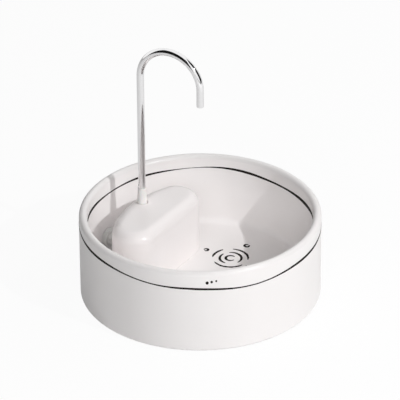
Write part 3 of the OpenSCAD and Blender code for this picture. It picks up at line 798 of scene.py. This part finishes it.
def top_rows(rim, edges, top, hole, rows):
    """Rows from the outline in over the rounded edge and the top to the hole's ring."""
    grid = np.zeros((rows + 1, len(rim), 3))
    fine = np.linspace(0, 1, PATH_STEPS) ** 2
    for column, (place, edge) in enumerate(zip(rim, edges)):
        way = place - hub
        ring = hub + way / np.linalg.norm(way) * hole
        path = place + (ring - place) * fine[:, None]
        rise = cover_height(path, rim, edges, top)
        line = np.column_stack([path, rise])
        steps = np.diff(line, axis=0)
        lengths = np.linalg.norm(steps, axis=1)
        turns = np.zeros(len(steps))
        along = steps / np.maximum(lengths, 1e-9)[:, None]
        turns[1:] = np.arccos(np.clip((along[1:] * along[:-1]).sum(1), -1, 1))
        cost = np.concatenate([[0], np.cumsum(lengths + TURN_COST * turns)])
        picks = np.linspace(0, cost[-1], rows + 1)
        for n in range(3):
            grid[:, column, n] = np.interp(picks, cost, line[:, n])
    return grid


def wall_rows(rim, edges, top, rows):
    """Rows from the foot up the wall to where the rounded edge starts."""
    heights = top - edges
    shares = np.linspace(0, 1, rows, endpoint=False)
    return np.array([np.column_stack([rim, FOOT_EDGE + (heights - FOOT_EDGE) * s]) for s in shares])


print("a row has", len(rim), "points")

# %% The cover's mesh
outer_top = top_rows(rim, rim_edges, COVER_H, TAP_HOLE + HOLE_LIP, TOP_ROWS)
hollow_rim, _, _ = cover_outline(OUTLINE_STEP, COVER_WALL)
hollow_edges = np.maximum(rim_edges - COVER_WALL, LEAST_EDGE)
inner_top = top_rows(hollow_rim, hollow_edges, COVER_H - COVER_TOP, TAP_HOLE, INNER_TOP_ROWS)
rows = list(wall_rows(rim, rim_edges, COVER_H, WALL_ROWS)) + list(outer_top)
ring = outer_top[-1]
spokes = (ring[:, :2] - hub) / np.linalg.norm(ring[:, :2] - hub, axis=1)[:, None]
for k in range(1, LIP_ROWS + 1):
    a = math.pi / 2 * k / LIP_ROWS
    reach = TAP_HOLE + HOLE_LIP * (1 - math.sin(a))
    drop = HOLE_LIP * (1 - math.cos(a))
    rows.append(np.column_stack([hub + spokes * reach, ring[:, 2] - drop]))
rows += list(inner_top[::-1])
rows += list(wall_rows(hollow_rim, hollow_edges, COVER_H - COVER_TOP, WALL_ROWS)[::-1])
for middle, first in ((COVER_WALL - FOOT_EDGE, 0), (FOOT_EDGE, 90)):
    for k in range(0 if first else 1, FOOT_ROWS if first else FOOT_ROWS + 1):
        a = math.radians(first + 90 * k / FOOT_ROWS)
        rows.append(np.column_stack([rim - rim_normals * (middle + FOOT_EDGE * math.cos(a)),
                                     np.full(len(rim), FOOT_EDGE * (1 - math.sin(a)))]))
cover_points = np.concatenate(rows)
cover_points[:, 2] += FLOOR_Z
cover = mesh_piece("cover_glazed", cover_points.tolist(), grid_faces(len(rows), len(rim), True))
print("cover rows:", len(rows), "- top at", round(float(cover_points[:, 2].max()), 2))

# %% [markdown]
# Water slots and the lead's port go through the foot of the back wall. Glaze rounds every cut
# edge, so each cutter flares where it meets the wall's two faces: the flare is the rounding.
# The cutters follow the wall's curve, because their sections stand on circles about the axis.

# %% Water slots and the lead's port
SLOT_W, SLOT_H, SLOT_START, SLOT_STEP = 4, 15, 4, 8
PORT_X, PORT_HALF = -8, 6
FLARE, SLOT_CORNER = 0.8, 0.6
# How far a cutter reaches past the wall, and down past the foot
CUT_PAST, CUT_BELOW = 1.5, 2
# How much painted shade the cover's upper rounded edges get, and the height above which it goes
COVER_SHADE, COVER_EDGE_Z = 0.65, 20


def arch(half, height, corner, steps=8):
    """Half-round or rounded opening, standing on the floor, as points (across, up)."""
    points = [(-half, -CUT_BELOW)]
    for k in range(steps + 1):
        a = math.pi - math.pi / 2 * k / steps
        points.append((-half + corner + corner * math.cos(a), height - corner + corner * math.sin(a)))
    return points + [(-x, z) for x, z in reversed(points)]


def flared_cutter(name, half, height, corner, shift, turn):
    """A cutter through the back wall, as an arch that flares at both faces of the wall."""
    sections = [(COVER_BACK_R + CUT_PAST, FLARE), (COVER_BACK_R, FLARE)]
    for a in (math.radians(v) for v in range(15, 91, 15)):
        sections.append((COVER_BACK_R - FLARE * math.sin(a),
                         FLARE * (1 - math.cos(math.pi / 2 - a))))
    sections += [(2 * COVER_BACK_R - COVER_WALL - r, f) for r, f in reversed(sections)]
    points = []
    for radius, flare in sections:
        for x, z in arch(half + flare, height + flare, corner + flare):
            across = x + shift
            out = math.sqrt(radius ** 2 - across ** 2)
            c, s = math.cos(math.radians(turn)), math.sin(math.radians(turn))
            points.append((across * c - out * s, across * s + out * c, FLOOR_Z + z))
    count = len(points) // len(sections)
    faces = grid_faces(len(sections), count, False)
    faces += [tuple(range(count)), tuple(range(len(points) - count, len(points)))]
    return mesh_piece(name, points, faces)


cutters = [flared_cutter(f"slot_{side}_{k}", SLOT_W / 2, SLOT_H, SLOT_CORNER, 0,
                         side * (SLOT_START + SLOT_STEP * k))
           for side in (-1, 1) for k in (1, 2, 3)]
cutters.append(flared_cutter("lead_port", PORT_HALF, INLET_Z - FLOOR_Z + PORT_HALF, PORT_HALF,
                             PORT_X, 0))
carve(cover, *cutters)
# Painted shade on the cover's upper rounded edges
thin_glaze(cover, lambda at, normal: (
    COVER_SHADE * over_edge(normal) * (at.z > FLOOR_Z + COVER_EDGE_Z)))
hang(cover, "cover", glaze_cover, ["pump_cover"])

# %% [markdown]
# ## Shapes that follow a rule
#
# Geometry Nodes make what follows a path or repeats. A tree is built once, with named inputs,
# and run as often as needed with other values. Each run ends as a plain mesh.

# %% Geometry Nodes helpers


def shape_tree(name, **inputs):
    """A Geometry Nodes tree with named inputs. Returns it with the inputs as wires."""
    tree = bpy.data.node_groups.new(name, "GeometryNodeTree")
    tree.interface.new_socket(name="Shape", in_out="OUTPUT", socket_type="NodeSocketGeometry")
    kinds = {int: "NodeSocketInt", float: "NodeSocketFloat", str: "NodeSocketMaterial"}
    for key, value in inputs.items():
        socket = tree.interface.new_socket(name=key, in_out="INPUT", socket_type=kinds[type(value)])
        if not isinstance(value, str):
            socket.default_value = value
    source = tree.nodes.new("NodeGroupInput")
    wires = {key: Wire(tree, source.outputs[key]) for key in inputs}
    return tree, wires


def close_tree(tree, shape, finish):
    """Ends a tree: real geometry instead of instances, smooth, with its material."""
    real = add_node(tree, "GeometryNodeRealizeInstances", {0: shape})
    smooth = add_node(tree, "GeometryNodeSetShadeSmooth", {"Geometry": real})
    painted = add_node(tree, "GeometryNodeSetMaterial", {"Geometry": smooth, "Material": finish})
    ends = tree.nodes.new("NodeGroupOutput")
    connect(tree, painted, ends.inputs[0])


def grow(name, tree, **values):
    """Runs a tree with these values and keeps the result as a plain mesh."""
    piece = bpy.data.objects.new(name, bpy.data.meshes.new(name))
    bpy.context.scene.collection.objects.link(piece)
    growth = piece.modifiers.new("growth", "NODES")
    growth.node_group = tree
    for item in tree.interface.items_tree:
        if item.in_out == "INPUT" and item.name in values:
            growth[item.identifier] = values[item.name]
    return settle(piece)


def seal(piece, gap=0.002):
    """Merges points closer than the gap in millimetres, and turns all faces outward."""
    work = bmesh.new()
    work.from_mesh(piece.data)
    bmesh.ops.remove_doubles(work, verts=work.verts, dist=gap * mm)
    bmesh.ops.recalc_face_normals(work, faces=work.faces)
    work.to_mesh(piece.data)
    work.free()
    return piece


def put(piece, shift, turn=0):
    """Turns a mesh about Z, then shifts it, both inside the mesh itself."""
    move = Matrix.Translation(Vector(shift) * mm) @ Matrix.Rotation(math.radians(turn), 4, "Z")
    piece.data.transform(move)
    return piece


print("tree helpers:", [part.__name__ for part in (shape_tree, close_tree, grow, seal, put)])

# %% [markdown]
# ## The tap
#
# The tap is one tube: straight up, half a turn, and a short straight end. Its middle line
# follows a rule, so Geometry Nodes can draw it. Each point knows how far along the tube it
# is. Up to the bend it climbs, in the bend it turns, and after the bend it drops. The tube's
# radius and the lengths stay named inputs of the tree.

# %% The tap's tube
TUBE_R, TUBE_WALL, TUBE_EDGE, BEND_R = 3.5, 0.5, 0.16, 32.0
BEND_Z, DROP, TAP_TURN = 209.0, 16.8, 3.8
TUBE_FOOT_Z = corners_of("tap_tube")[0][2]


def swan_neck_tree():
    """A tube that climbs from the origin, bends by half a turn and drops."""
    tree, given = shape_tree("swan_neck", Climb=0.15, Bend=0.03, Drop=0.02, Radius=0.004,
                             Steps=280, Sides=64, Finish="")
    line = add_node(tree, "GeometryNodeMeshLine", {"Count": given["Steps"]})
    step = add_node(tree, "GeometryNodeInputIndex")
    turn_length = given["Bend"] * math.pi
    total = given["Climb"] + turn_length + given["Drop"]
    along = step / (given["Steps"] - 1) * total
    climbed = along.maths("MINIMUM", given["Climb"])
    turned_by = ((along - given["Climb"]) / given["Bend"]).maths("MAXIMUM", 0.0)
    turned_by = turned_by.maths("MINIMUM", math.pi)
    dropped = (along - given["Climb"] - turn_length).maths("MAXIMUM", 0.0)
    forward = (turned_by.cos() - 1) * given["Bend"]
    height = climbed + turned_by.sin() * given["Bend"] - dropped
    place = add_node(tree, "ShaderNodeCombineXYZ", {"Y": forward, "Z": height})
    placed = add_node(tree, "GeometryNodeSetPosition", {"Geometry": line, "Position": place})
    path = add_node(tree, "GeometryNodeMeshToCurve", {"Mesh": placed})
    profile = add_node(tree, "GeometryNodeCurvePrimitiveCircle", {
        "Radius": given["Radius"], "Resolution": given["Sides"]}, out="Curve")
    tube = add_node(tree, "GeometryNodeCurveToMesh", {"Curve": path, "Profile Curve": profile})
    close_tree(tree, tube, given["Finish"])
    return tree


tap = grow("tap_tube_polished", swan_neck_tree(), Climb=(BEND_Z - TUBE_FOOT_Z) * mm,
           Bend=BEND_R * mm, Drop=DROP * mm, Radius=TUBE_R * mm, Finish=polished)
seal(tap)
thick = tap.modifiers.new("wall", "SOLIDIFY")
thick.thickness, thick.offset, thick.use_even_offset = TUBE_WALL * mm, -1, True
lip = tap.modifiers.new("lip", "BEVEL")
lip.width, lip.segments = TUBE_EDGE * mm, 3
lip.limit_method, lip.angle_limit = "ANGLE", math.radians(60)
settle(tap)
put(tap, (TAP_X, TAP_Y, TUBE_FOOT_Z), TAP_TURN)
hang(tap, "tap", polished, ["tap_tube"])
print("tap top at", round(max(v.co.z for v in tap.data.vertices) / mm, 2))

# %% [markdown]
# A soft sleeve seals the tube where it leaves the cover. It is a slim cone with a rounded
# mouth that grips the tube.

# %% The tap's sleeve
MOUTH_R, TAPER_UP = 4.1, 8.6
GRIP_R = TUBE_R + 0.06
(sleeve_x0, _, SLEEVE_FOOT_Z), (sleeve_x1, _, MOUTH_Z) = corners_of("tap_sleeve")
SLEEVE_R = round((sleeve_x1 - sleeve_x0) / 2, 3)
TAPER_Z = SLEEVE_FOOT_Z + TAPER_UP
sleeve = turned("tap_sleeve_soft", evenly(rounded([
    (GRIP_R, SLEEVE_FOOT_Z, 0.2), (SLEEVE_R, SLEEVE_FOOT_Z, 0.4), (SLEEVE_R, TAPER_Z, 3),
    (MOUTH_R, MOUTH_Z, 0.26), (GRIP_R, MOUTH_Z, 0.14)], steps=5), step=1.5), sides=72,
    centre=(TAP_X, TAP_Y, 0))
hang(sleeve, "tap_ferrule", finishes["silicone_white"], ["tap_sleeve"])

# %% [markdown]
# ## Painted line
#
# One black brush line runs round the outside of the wall, and one round the inside. It is
# drawn by hand on a turning wheel, so it sways a little and swells and thins. The tree makes
# a closed ring with a flat oval section and lays it on the wall. Slow waves and a little
# noise move it up and down, and the brush presses harder a few times in each turn. The noise
# is read on a circle, so the ends meet.

# %% The brush line
LINE_WAVES = (1, 2, 3, 5, 8)
LINE_POINTS, LINE_SECTION = 901, 11


def point_sheet(tree, count, around):
    """A flat sheet of points, and how far each is along it and across it, from 0 to 1."""
    sheet = add_node(tree, "GeometryNodeMeshGrid", {
        "Size X": 1.0, "Size Y": 1.0, "Vertices X": count, "Vertices Y": around})
    x, y, _ = split(tree, add_node(tree, "GeometryNodeInputPosition"))
    return sheet, x + 0.5, y + 0.5


def close_sheet(tree, sheet, place, gap, finish):
    """Moves a sheet's points to their places, joins its edges and ends the tree."""
    placed = add_node(tree, "GeometryNodeSetPosition", {"Geometry": sheet, "Position": place})
    closed = add_node(tree, "GeometryNodeMergeByDistance", {
        "Geometry": placed, "Distance": gap * mm})
    close_tree(tree, closed, finish)


def brush_line_tree():
    """A closed ring of paint on a round wall, with waves, swells and a tremble."""
    waves = {f"{part}_{wave}": 0.0 for wave in LINE_WAVES for part in ("Rise", "Turn")}
    tree, given = shape_tree("brush_line", Wall=0.1, Height=0.07, Width=0.002, Swell=0.3,
                             Swell_turn=0.0, Beats=6.0, Beat=0.3, Beat_turn=0.0, Rough=0.0003,
                             Proud=0.00005, Seed=0.0, **waves, Finish="")
    sheet, along, around = point_sheet(tree, LINE_POINTS, LINE_SECTION)
    angle = along * (2 * math.pi)
    section = around * (2 * math.pi)
    # A flat oval: the power below 1 makes its face flat and its sides steep
    level = section.cos()
    level = level.maths("SIGN") * level.maths("ABSOLUTE").maths("POWER", 0.4)
    # Up and down: slow waves, then the hand's tremble
    height = given["Height"]
    for wave in LINE_WAVES:
        height = height + (angle * wave - given[f"Turn_{wave}"]).cos() * given[f"Rise_{wave}"]
    circle = add_node(tree, "ShaderNodeCombineXYZ", {
        "X": angle.cos(), "Y": angle.sin(), "Z": given["Seed"]})
    height = height + (noise(tree, circle, 5.0, 3) - 0.5) * given["Rough"] * 3
    # Thick and thin: two swells in a turn, the brush's presses, and its grain
    grain = noise(tree, circle, 34.0, 1) - 0.5
    swell = (angle * 2 - given["Swell_turn"]).cos() * given["Swell"] + grain * 0.2
    swell = swell + ((angle - given["Beat_turn"]) * given["Beats"]).cos() * given["Beat"]
    half = given["Width"] * (swell + 1) / 2
    out = given["Wall"] + level * given["Proud"]
    up = height + section.sin() * half
    place = add_node(tree, "ShaderNodeCombineXYZ", {
        "X": angle.cos() * out, "Y": angle.sin() * out, "Z": up})
    close_sheet(tree, sheet, place, 0.002, given["Finish"])
    return tree


line_tree = brush_line_tree()
print("brush line tree:", len(line_tree.nodes), "nodes")

# %% [markdown]
# The paint is a matt black stain. Where the brush ran dry it is a little paler, so its colour
# wanders between two near blacks, and it has almost no shine.

# %% The black paint


def paint_finish():
    """Matt black ceramic paint that is a little thinner in places."""
    made, tree, shader = new_finish("line_black", (0.016, 0.013, 0.012), 0.55,
                                    Specular_IOR_Level=0.05)
    where = place_in(tree)
    thin = between(tree, noise(tree, where, 900, 3), 0.35, 0.8)
    connect(tree, blend_colours(tree, thin, (0.013, 0.010, 0.009), (0.034, 0.029, 0.027)),
            shader.inputs["Base Color"])
    relief(tree, shader, noise(tree, where, 700, 2), 0.02)
    return made


line_black = paint_finish()
print("paint:", line_black.name)

# %% [markdown]
# Both lines come from the same tree. Five slow waves for each, of one to eight in a turn, say
# how the hand swayed.

# %% The two lines
# The cast wall stands a little inside its CAD radius, and so does the paint
OUTER_PAINT_R, INNER_PAINT_R = BOWL_R - 0.14, BOWL_IN_R - 0.16
OUTER_WAVES = (3.0, 1.84, 0.17, 0.46, 0.48), (51, -77, 102, -42, -93)
INNER_WAVES = (3.01, 0.42, 2.19, 0.59, 0.34), (-142, -123, 103, 49, 158)


def line_waves(rises, turns):
    """The heights in mm and the places in degrees of the slow waves, as the tree's inputs."""
    made = {f"Rise_{wave}": v * mm for wave, v in zip(LINE_WAVES, rises)}
    made.update({f"Turn_{wave}": math.radians(v) for wave, v in zip(LINE_WAVES, turns)})
    return made


outer_line = grow("line_outside", line_tree, Wall=OUTER_PAINT_R * mm, Height=72.48 * mm,
                  Width=2.15 * mm, Swell=0.24, Swell_turn=math.radians(-115), Beats=6.0, Beat=0.3,
                  Beat_turn=math.radians(212), Rough=0.12 * mm, Proud=0.14 * mm, Seed=3.0,
                  Finish=line_black, **line_waves(*OUTER_WAVES))
inner_line = grow("line_inside", line_tree, Wall=INNER_PAINT_R * mm, Height=74.34 * mm,
                  Width=2.3 * mm, Swell=0.45, Swell_turn=math.radians(-90), Beats=7.0, Beat=0.34,
                  Beat_turn=math.radians(10), Rough=0.12 * mm, Proud=0.2 * mm, Seed=8.0,
                  Finish=line_black, **line_waves(*INNER_WAVES))
for line in (outer_line, inner_line):
    hang(seal(line), "base", line_black, crease=80)

# %% [markdown]
# ## Ripples on the floor
#
# A few free brush strokes decorate the floor: broken rings, like ripples where drops have
# fallen, with some dots. One tree draws one stroke, an arc that thins at both ends. Python
# calls it for each stroke, with a radius, a start and a length, and joins the results.

# %% Brush strokes
STROKE_POINTS, STROKE_SECTION = 65, 9


def stroke_tree():
    """An arc of paint round the origin that thins at both ends."""
    tree, given = shape_tree("brush_stroke", Radius=0.01, Start=0.0, Sweep=3.0, Width=0.001,
                             Tremble=0.0003, Proud=0.00006, Blunt=0.35, Seed=0.0, Finish="")
    sheet, share, around = point_sheet(tree, STROKE_POINTS, STROKE_SECTION)
    section = around * (2 * math.pi)
    angle = share * given["Sweep"] + given["Start"]
    circle = add_node(tree, "ShaderNodeCombineXYZ", {
        "X": angle.cos(), "Y": angle.sin(), "Z": given["Seed"]})
    sway = (noise(tree, circle, 3.0, 2) - 0.5) * given["Tremble"] * 2
    taper = (share * math.pi).sin().maths("POWER", given["Blunt"])
    press = (noise(tree, circle, 5.0, 1) - 0.5) * 0.6 + 1
    half = given["Width"] * taper * press / 2
    reach = given["Radius"] + sway + section.cos() * half
    up = section.sin() * given["Proud"] * taper
    place = add_node(tree, "ShaderNodeCombineXYZ", {
        "X": angle.cos() * reach, "Y": angle.sin() * reach, "Z": up})
    close_sheet(tree, sheet, place, 0.001, given["Finish"])
    return tree


def join(name, pieces):
    """One object with the meshes of several, which are deleted."""
    work = bmesh.new()
    for piece in pieces:
        work.from_mesh(piece.data)
    mesh = bpy.data.meshes.new(name)
    work.to_mesh(mesh)
    work.free()
    mesh.materials.append(pieces[0].data.materials[0])
    for piece in pieces:
        bpy.data.objects.remove(piece)
    joined = bpy.data.objects.new(name, mesh)
    bpy.context.scene.collection.objects.link(joined)
    return joined


stroke = stroke_tree()
print("stroke tree:", len(stroke.nodes), "nodes")

# %% [markdown]
# The strokes are set out one by one: three broken rings about one middle, a small double ring
# beside them, and two single drops.

# %% The ripples
STROKE_W = 2.5
RIPPLE_PLACE, RIPPLE_TURN = (46, -5), -50
# Each stroke has its middle, its radius, and where it starts and how far it goes in degrees
ripple_strokes = [
    (0, 0, 4.6, 20, 290), (0, 0, 10.6, -60, 150), (0, 0, 10.4, 120, 115), (0, 0, 17.0, -20, 95),
    (0, 0, 17.4, 105, 60), (0, 0, 16.8, 195, 110), (19, -19, 3.0, 0, 330), (19, -19, 6.6, 150, 150),
    (19, 21, 2.3, 40, 340), (-21, 19, 1.9, 200, 330)]
strokes = []
for place, (x, y, radius, start, sweep) in enumerate(ripple_strokes):
    arc = grow(f"stroke_{place}", stroke, Radius=radius * mm, Start=math.radians(start),
               Sweep=math.radians(sweep), Width=STROKE_W * mm, Tremble=0.35 * mm,
               Proud=0.12 * mm, Seed=float(place), Finish=line_black)
    strokes.append(put(seal(arc), (x, y, 0)))
ripples = put(join("ripples_on_floor", strokes), (*RIPPLE_PLACE, FLOOR_Z + 0.02), RIPPLE_TURN)
hang(ripples, "base", line_black, crease=80)

# %% [markdown]
# Three small dots stand in a row over the line on the outside. They are one flat drop shape,
# set out along the wall as instances, each a little smaller than the one before.

# %% Dots over the line


def dots_tree():
    """A row of drops along a round wall, each smaller than the one before."""
    tree, given = shape_tree("dots", Count=3, Wall=0.1, Start=0.0, Step=0.02, Height=0.07,
                             Rise=0.001, Size=0.001, Shrink=0.8, Tall=1.15, Proud=0.0001,
                             Finish="")
    row = add_node(tree, "GeometryNodeMeshLine", {"Count": given["Count"]})
    place = add_node(tree, "GeometryNodeInputIndex")
    angle = place * given["Step"] + given["Start"]
    spot = add_node(tree, "ShaderNodeCombineXYZ", {
        "X": angle.cos() * given["Wall"], "Y": angle.sin() * given["Wall"],
        "Z": given["Height"] + place * given["Rise"]})
    spots = add_node(tree, "GeometryNodeSetPosition", {"Geometry": row, "Position": spot})
    drop = add_node(tree, "GeometryNodeMeshUVSphere", {"Segments": 24, "Rings": 12, "Radius": 1.0})
    size = given["Size"] * given["Shrink"].maths("POWER", place)
    dots = add_node(tree, "GeometryNodeInstanceOnPoints", {
        "Points": spots, "Instance": drop,
        "Rotation": add_node(tree, "ShaderNodeCombineXYZ", {"Z": angle}),
        "Scale": add_node(tree, "ShaderNodeCombineXYZ", {
            "X": given["Proud"], "Y": size, "Z": size * given["Tall"]})})
    close_tree(tree, dots, given["Finish"])
    return tree


dots = grow("dots_over_line", dots_tree(), Wall=OUTER_PAINT_R * mm, Start=math.radians(215.6),
            Step=math.radians(2.1), Height=75.4 * mm, Rise=0.8 * mm, Size=1.5 * mm, Shrink=0.78,
            Proud=0.13 * mm, Finish=line_black)
hang(seal(dots, gap=0.0005), "base", line_black, crease=80)

# %% [markdown]
# ## The parts inside
#
# Under the cover stand the pump, its intake and its filter, and the power inlet sits in the
# bowl's wall. Their forms come straight from the CAD model. What a CAD model leaves out are
# the small radii that a mould, a press or a knife leaves on every edge. Each part here is a
# copy of its CAD piece with the doubled points merged, and a Bevel modifier rounds every edge
# sharper than 30 degrees: by 0.4 mm on a soft block, by less than 0.1 mm on punched steel.
# The end of the name says how such a part is made.

# %% Rounding a CAD piece's edges
SHARP_ANGLE, FLAT_ANGLE, MERGE_GAP = 30, 1, 0.01
body_of = {node: body for body, held in frame["record"]["behaviour"]["bodies"].items()
           for node in held}


def dressed(node, name, radius, clamp):
    """A copy of a CAD piece with rounded edges, which stands for it."""
    work = bmesh.new()
    work.from_mesh(nodes[node].data)
    bmesh.ops.remove_doubles(work, verts=work.verts, dist=MERGE_GAP * mm)
    bmesh.ops.dissolve_limit(work, angle_limit=math.radians(FLAT_ANGLE), verts=work.verts,
                             edges=work.edges)
    mesh = bpy.data.meshes.new(name)
    work.to_mesh(mesh)
    work.free()
    piece = bpy.data.objects.new(name, mesh)
    bpy.context.scene.collection.objects.link(piece)
    edge = piece.modifiers.new("edge", "BEVEL")
    edge.width, edge.segments, edge.use_clamp_overlap = radius * mm, 2, clamp
    edge.limit_method, edge.angle_limit = "ANGLE", math.radians(SHARP_ANGLE)
    settle(piece)
    return hang(piece, body_of[node], finishes[slot_of[node]], [node], crease=40)


# %% [markdown]
# On some pieces short edges meet at a rib or a vane. Clamped there, the radius would shrink to
# almost nothing all over the piece, so five of them aren't clamped.

# %% Pieces with rounded edges
# Node, name of its copy, edge radius, and whether the radius gives way on short edges
ROUNDED = (
    ("foot_ring", "foot_ring_soft", 0.5, True),
    ("tap_socket", "tap_socket_moulded", 0.3, True),
    ("riser_hose", "riser_hose_cut", 0.3, True),
    ("intake_cover", "intake_cover_moulded", 0.25, True),
    ("flow_gate", "flow_gate_moulded", 0.25, True),
    ("suction_feet", "suction_feet_soft", 0.12, True),
    ("lead_boot", "lead_boot_moulded", 0.25, True),
    ("filter_tray", "filter_tray_moulded", 0.3, True),
    ("cartridge_frame", "cartridge_frame_moulded", 0.25, True),
    ("filter_felt", "filter_felt_cut", 0.3, True),
    ("filter_carbon", "filter_carbon_filled", 0.4, True),
    ("intake_sponge", "intake_sponge_cut", 0.6, True),
    ("inlet_contacts", "inlet_contact_turned", 0.15, True),
    ("inlet_seal", "inlet_seal_soft", 0.2, True),
    ("inlet_nut", "inlet_nut_moulded", 0.4, True),
    ("rotor_magnet", "rotor_magnet_sintered", 0.3, True),
    ("rotor_shaft", "rotor_shaft_ground", 0.2, True),
    ("shaft_bushes", "shaft_bushes_moulded", 0.15, True),
    ("coil_bobbin", "coil_bobbin_moulded", 0.12, True),
    ("pump_housing", "pump_housing_moulded", 0.25, False),
    ("pump_chamber", "pump_chamber_moulded", 0.2, False),
    ("impeller", "impeller_moulded", 0.12, False),
    ("stator_core", "stator_core_stacked", 0.08, False),
    ("inlet_body", "inlet_body_moulded", 0.2, False))
for node, name, radius, clamp in ROUNDED:
    dressed(node, name, radius, clamp)

# %% [markdown]
# The motor's four coils are wound from enamelled wire. Geometry Nodes makes one layer: a
# rounded rectangle with a wire for its section, repeated along the pole. Three layers of
# growing size make a coil, and each pole has one.

# %% The windings
POLES, LAYERS, ROWS = 4, 3, 4
WIRE_R, LAYER_STEP, CLEAR = 0.18, 0.46, 0.01
INNER_HALF_X, INNER_HALF_Y, INNER_CORNER = 6.5, 2.0, 0.2
# The coils stand round the bobbin's axis, from this radius out to the CAD coil's
STATOR_AT = middle_of("coil_bobbin")
COIL_R0, COIL_R1 = 6.8, round(corners_of("stator_coil")[1][1] - STATOR_AT[1], 3)


def layer_tree():
    """One layer of a coil: a rounded rectangle of wire, repeated along Z."""
    tree, given = shape_tree("wire_layer", Long=0.013, Wide=0.004, Corner=0.0005, Wire=0.0002,
                             Rows=4, Step=0.0004, Finish="")
    frame_curve = add_node(tree, "GeometryNodeCurvePrimitiveQuadrilateral", {
        "Width": given["Long"], "Height": given["Wide"]})
    bent = add_node(tree, "GeometryNodeFilletCurve", {
        "Curve": frame_curve, "Count": 4, "Radius": given["Corner"]}, mode="POLY")
    section = add_node(tree, "GeometryNodeCurvePrimitiveCircle", {
        "Resolution": 8, "Radius": given["Wire"]})
    turn = add_node(tree, "GeometryNodeCurveToMesh", {"Curve": bent, "Profile Curve": section})
    along = add_node(tree, "ShaderNodeCombineXYZ", {"Z": given["Step"]})
    rows = add_node(tree, "GeometryNodeMeshLine", {"Count": given["Rows"], "Offset": along})
    turns = add_node(tree, "GeometryNodeInstanceOnPoints", {"Points": rows, "Instance": turn})
    close_tree(tree, turns, given["Finish"])
    return tree


layer = layer_tree()
coils = []
for pole in range(POLES):
    for level in range(LAYERS):
        reach = WIRE_R + CLEAR + level * LAYER_STEP
        turns = grow(f"coil_{pole}_{level}", layer, Long=2 * (INNER_HALF_X + reach) * mm,
                     Wide=2 * (INNER_HALF_Y + reach) * mm,
                     Corner=(INNER_CORNER + level * LAYER_STEP) * mm, Wire=WIRE_R * mm, Rows=ROWS,
                     Step=(COIL_R1 - COIL_R0 - 2 * WIRE_R) / (ROWS - 1) * mm,
                     Finish=finishes["winding"])
        turns.data.transform(Matrix.Translation(Vector(STATOR_AT) * mm)
                             @ Matrix.Rotation(pole * math.pi / 2, 4, "X")
                             @ Matrix.Translation((0, 0, (COIL_R0 + WIRE_R) * mm)))
        coils.append(turns)
hang(seal(join("stator_winding", coils), gap=0.0005), "base", finishes["winding"],
     ["stator_coil"], crease=60)

# %% [markdown]
# ## The studio
#
# The backdrop is white to the camera and in reflections. The floor is a pale sheet that glows
# to the camera and still takes a soft shadow, so that the bowl stands on something. For the
# light that falls on the object, the world is a plain grey level, and the lamps do the shaping.

# %% Looks by the kind of ray


def ray_is(tree, *kinds):
    """1 for a ray of one of these kinds, as a wire. A ray of two kinds counts twice."""
    rays = tree.nodes.new("ShaderNodeLightPath")
    first, *others = (Wire(tree, rays.outputs[f"Is {kind} Ray"]) for kind in kinds)
    return sum(others, first)


def show_mixed(tree, share, first, second, output):
    """Ends a tree with a mix of two shaders, the second where the share is 1."""
    mixed = tree.nodes.new("ShaderNodeMixShader")
    for place, value in enumerate((share, first, second)):
        connect(tree, value, mixed.inputs[place])
    connect(tree, mixed.outputs[0], tree.nodes[output].inputs["Surface"])


print("ray kinds: camera, glossy and transmission")

# %% The floor
FLOOR_SIZE = 8000
PAPER = (0.9, 0.9, 0.9)
WHITE_TO_CAMERA, WHITE_TO_GLOSS = 0.94, 0.3
sheet = bpy.data.meshes.new("studio_floor")
half = FLOOR_SIZE / 2 * mm
sheet.from_pydata([(-half, -half, 0), (half, -half, 0), (half, half, 0), (-half, half, 0)], [],
                  [(0, 1, 2, 3)])
floor = bpy.data.objects.new("studio_floor", sheet)
bpy.context.scene.collection.objects.link(floor)
paper = bpy.data.materials.new("studio_paper")
paper.use_nodes = True
tree = paper.node_tree
tree.nodes.remove(tree.nodes["Principled BSDF"])
matt = tree.nodes.new("ShaderNodeBsdfDiffuse")
matt.inputs["Color"].default_value = (*PAPER, 1)
glow = tree.nodes.new("ShaderNodeEmission")
glowing = ray_is(tree, "Camera") * WHITE_TO_CAMERA
glowing = glowing + ray_is(tree, "Glossy", "Transmission") * WHITE_TO_GLOSS
show_mixed(tree, glowing, matt.outputs[0], glow.outputs[0], "Material Output")
sheet.materials.append(paper)
print("floor:", FLOOR_SIZE / 1000, "m wide")

# %% The backdrop
AMBIENT, AMBIENT_TINT = 0.05, (1, 0.99, 0.985)
world = bpy.data.worlds.new("studio")
bpy.context.scene.world = world
world.use_nodes = True
tree = world.node_tree
ambient = tree.nodes["Background"]
ambient.inputs["Color"].default_value = (*AMBIENT_TINT, 1)
ambient.inputs["Strength"].default_value = AMBIENT
white = tree.nodes.new("ShaderNodeBackground")
white.inputs["Color"].default_value = (1, 1, 1, 1)
backdrop = ray_is(tree, "Camera", "Glossy", "Transmission").maths("MINIMUM", 1.0)
show_mixed(tree, backdrop, ambient.outputs[0], white.outputs[0], "World Output")
bpy.context.scene.view_settings.view_transform = "Standard"
print("ambient light:", AMBIENT)

# %% [markdown]
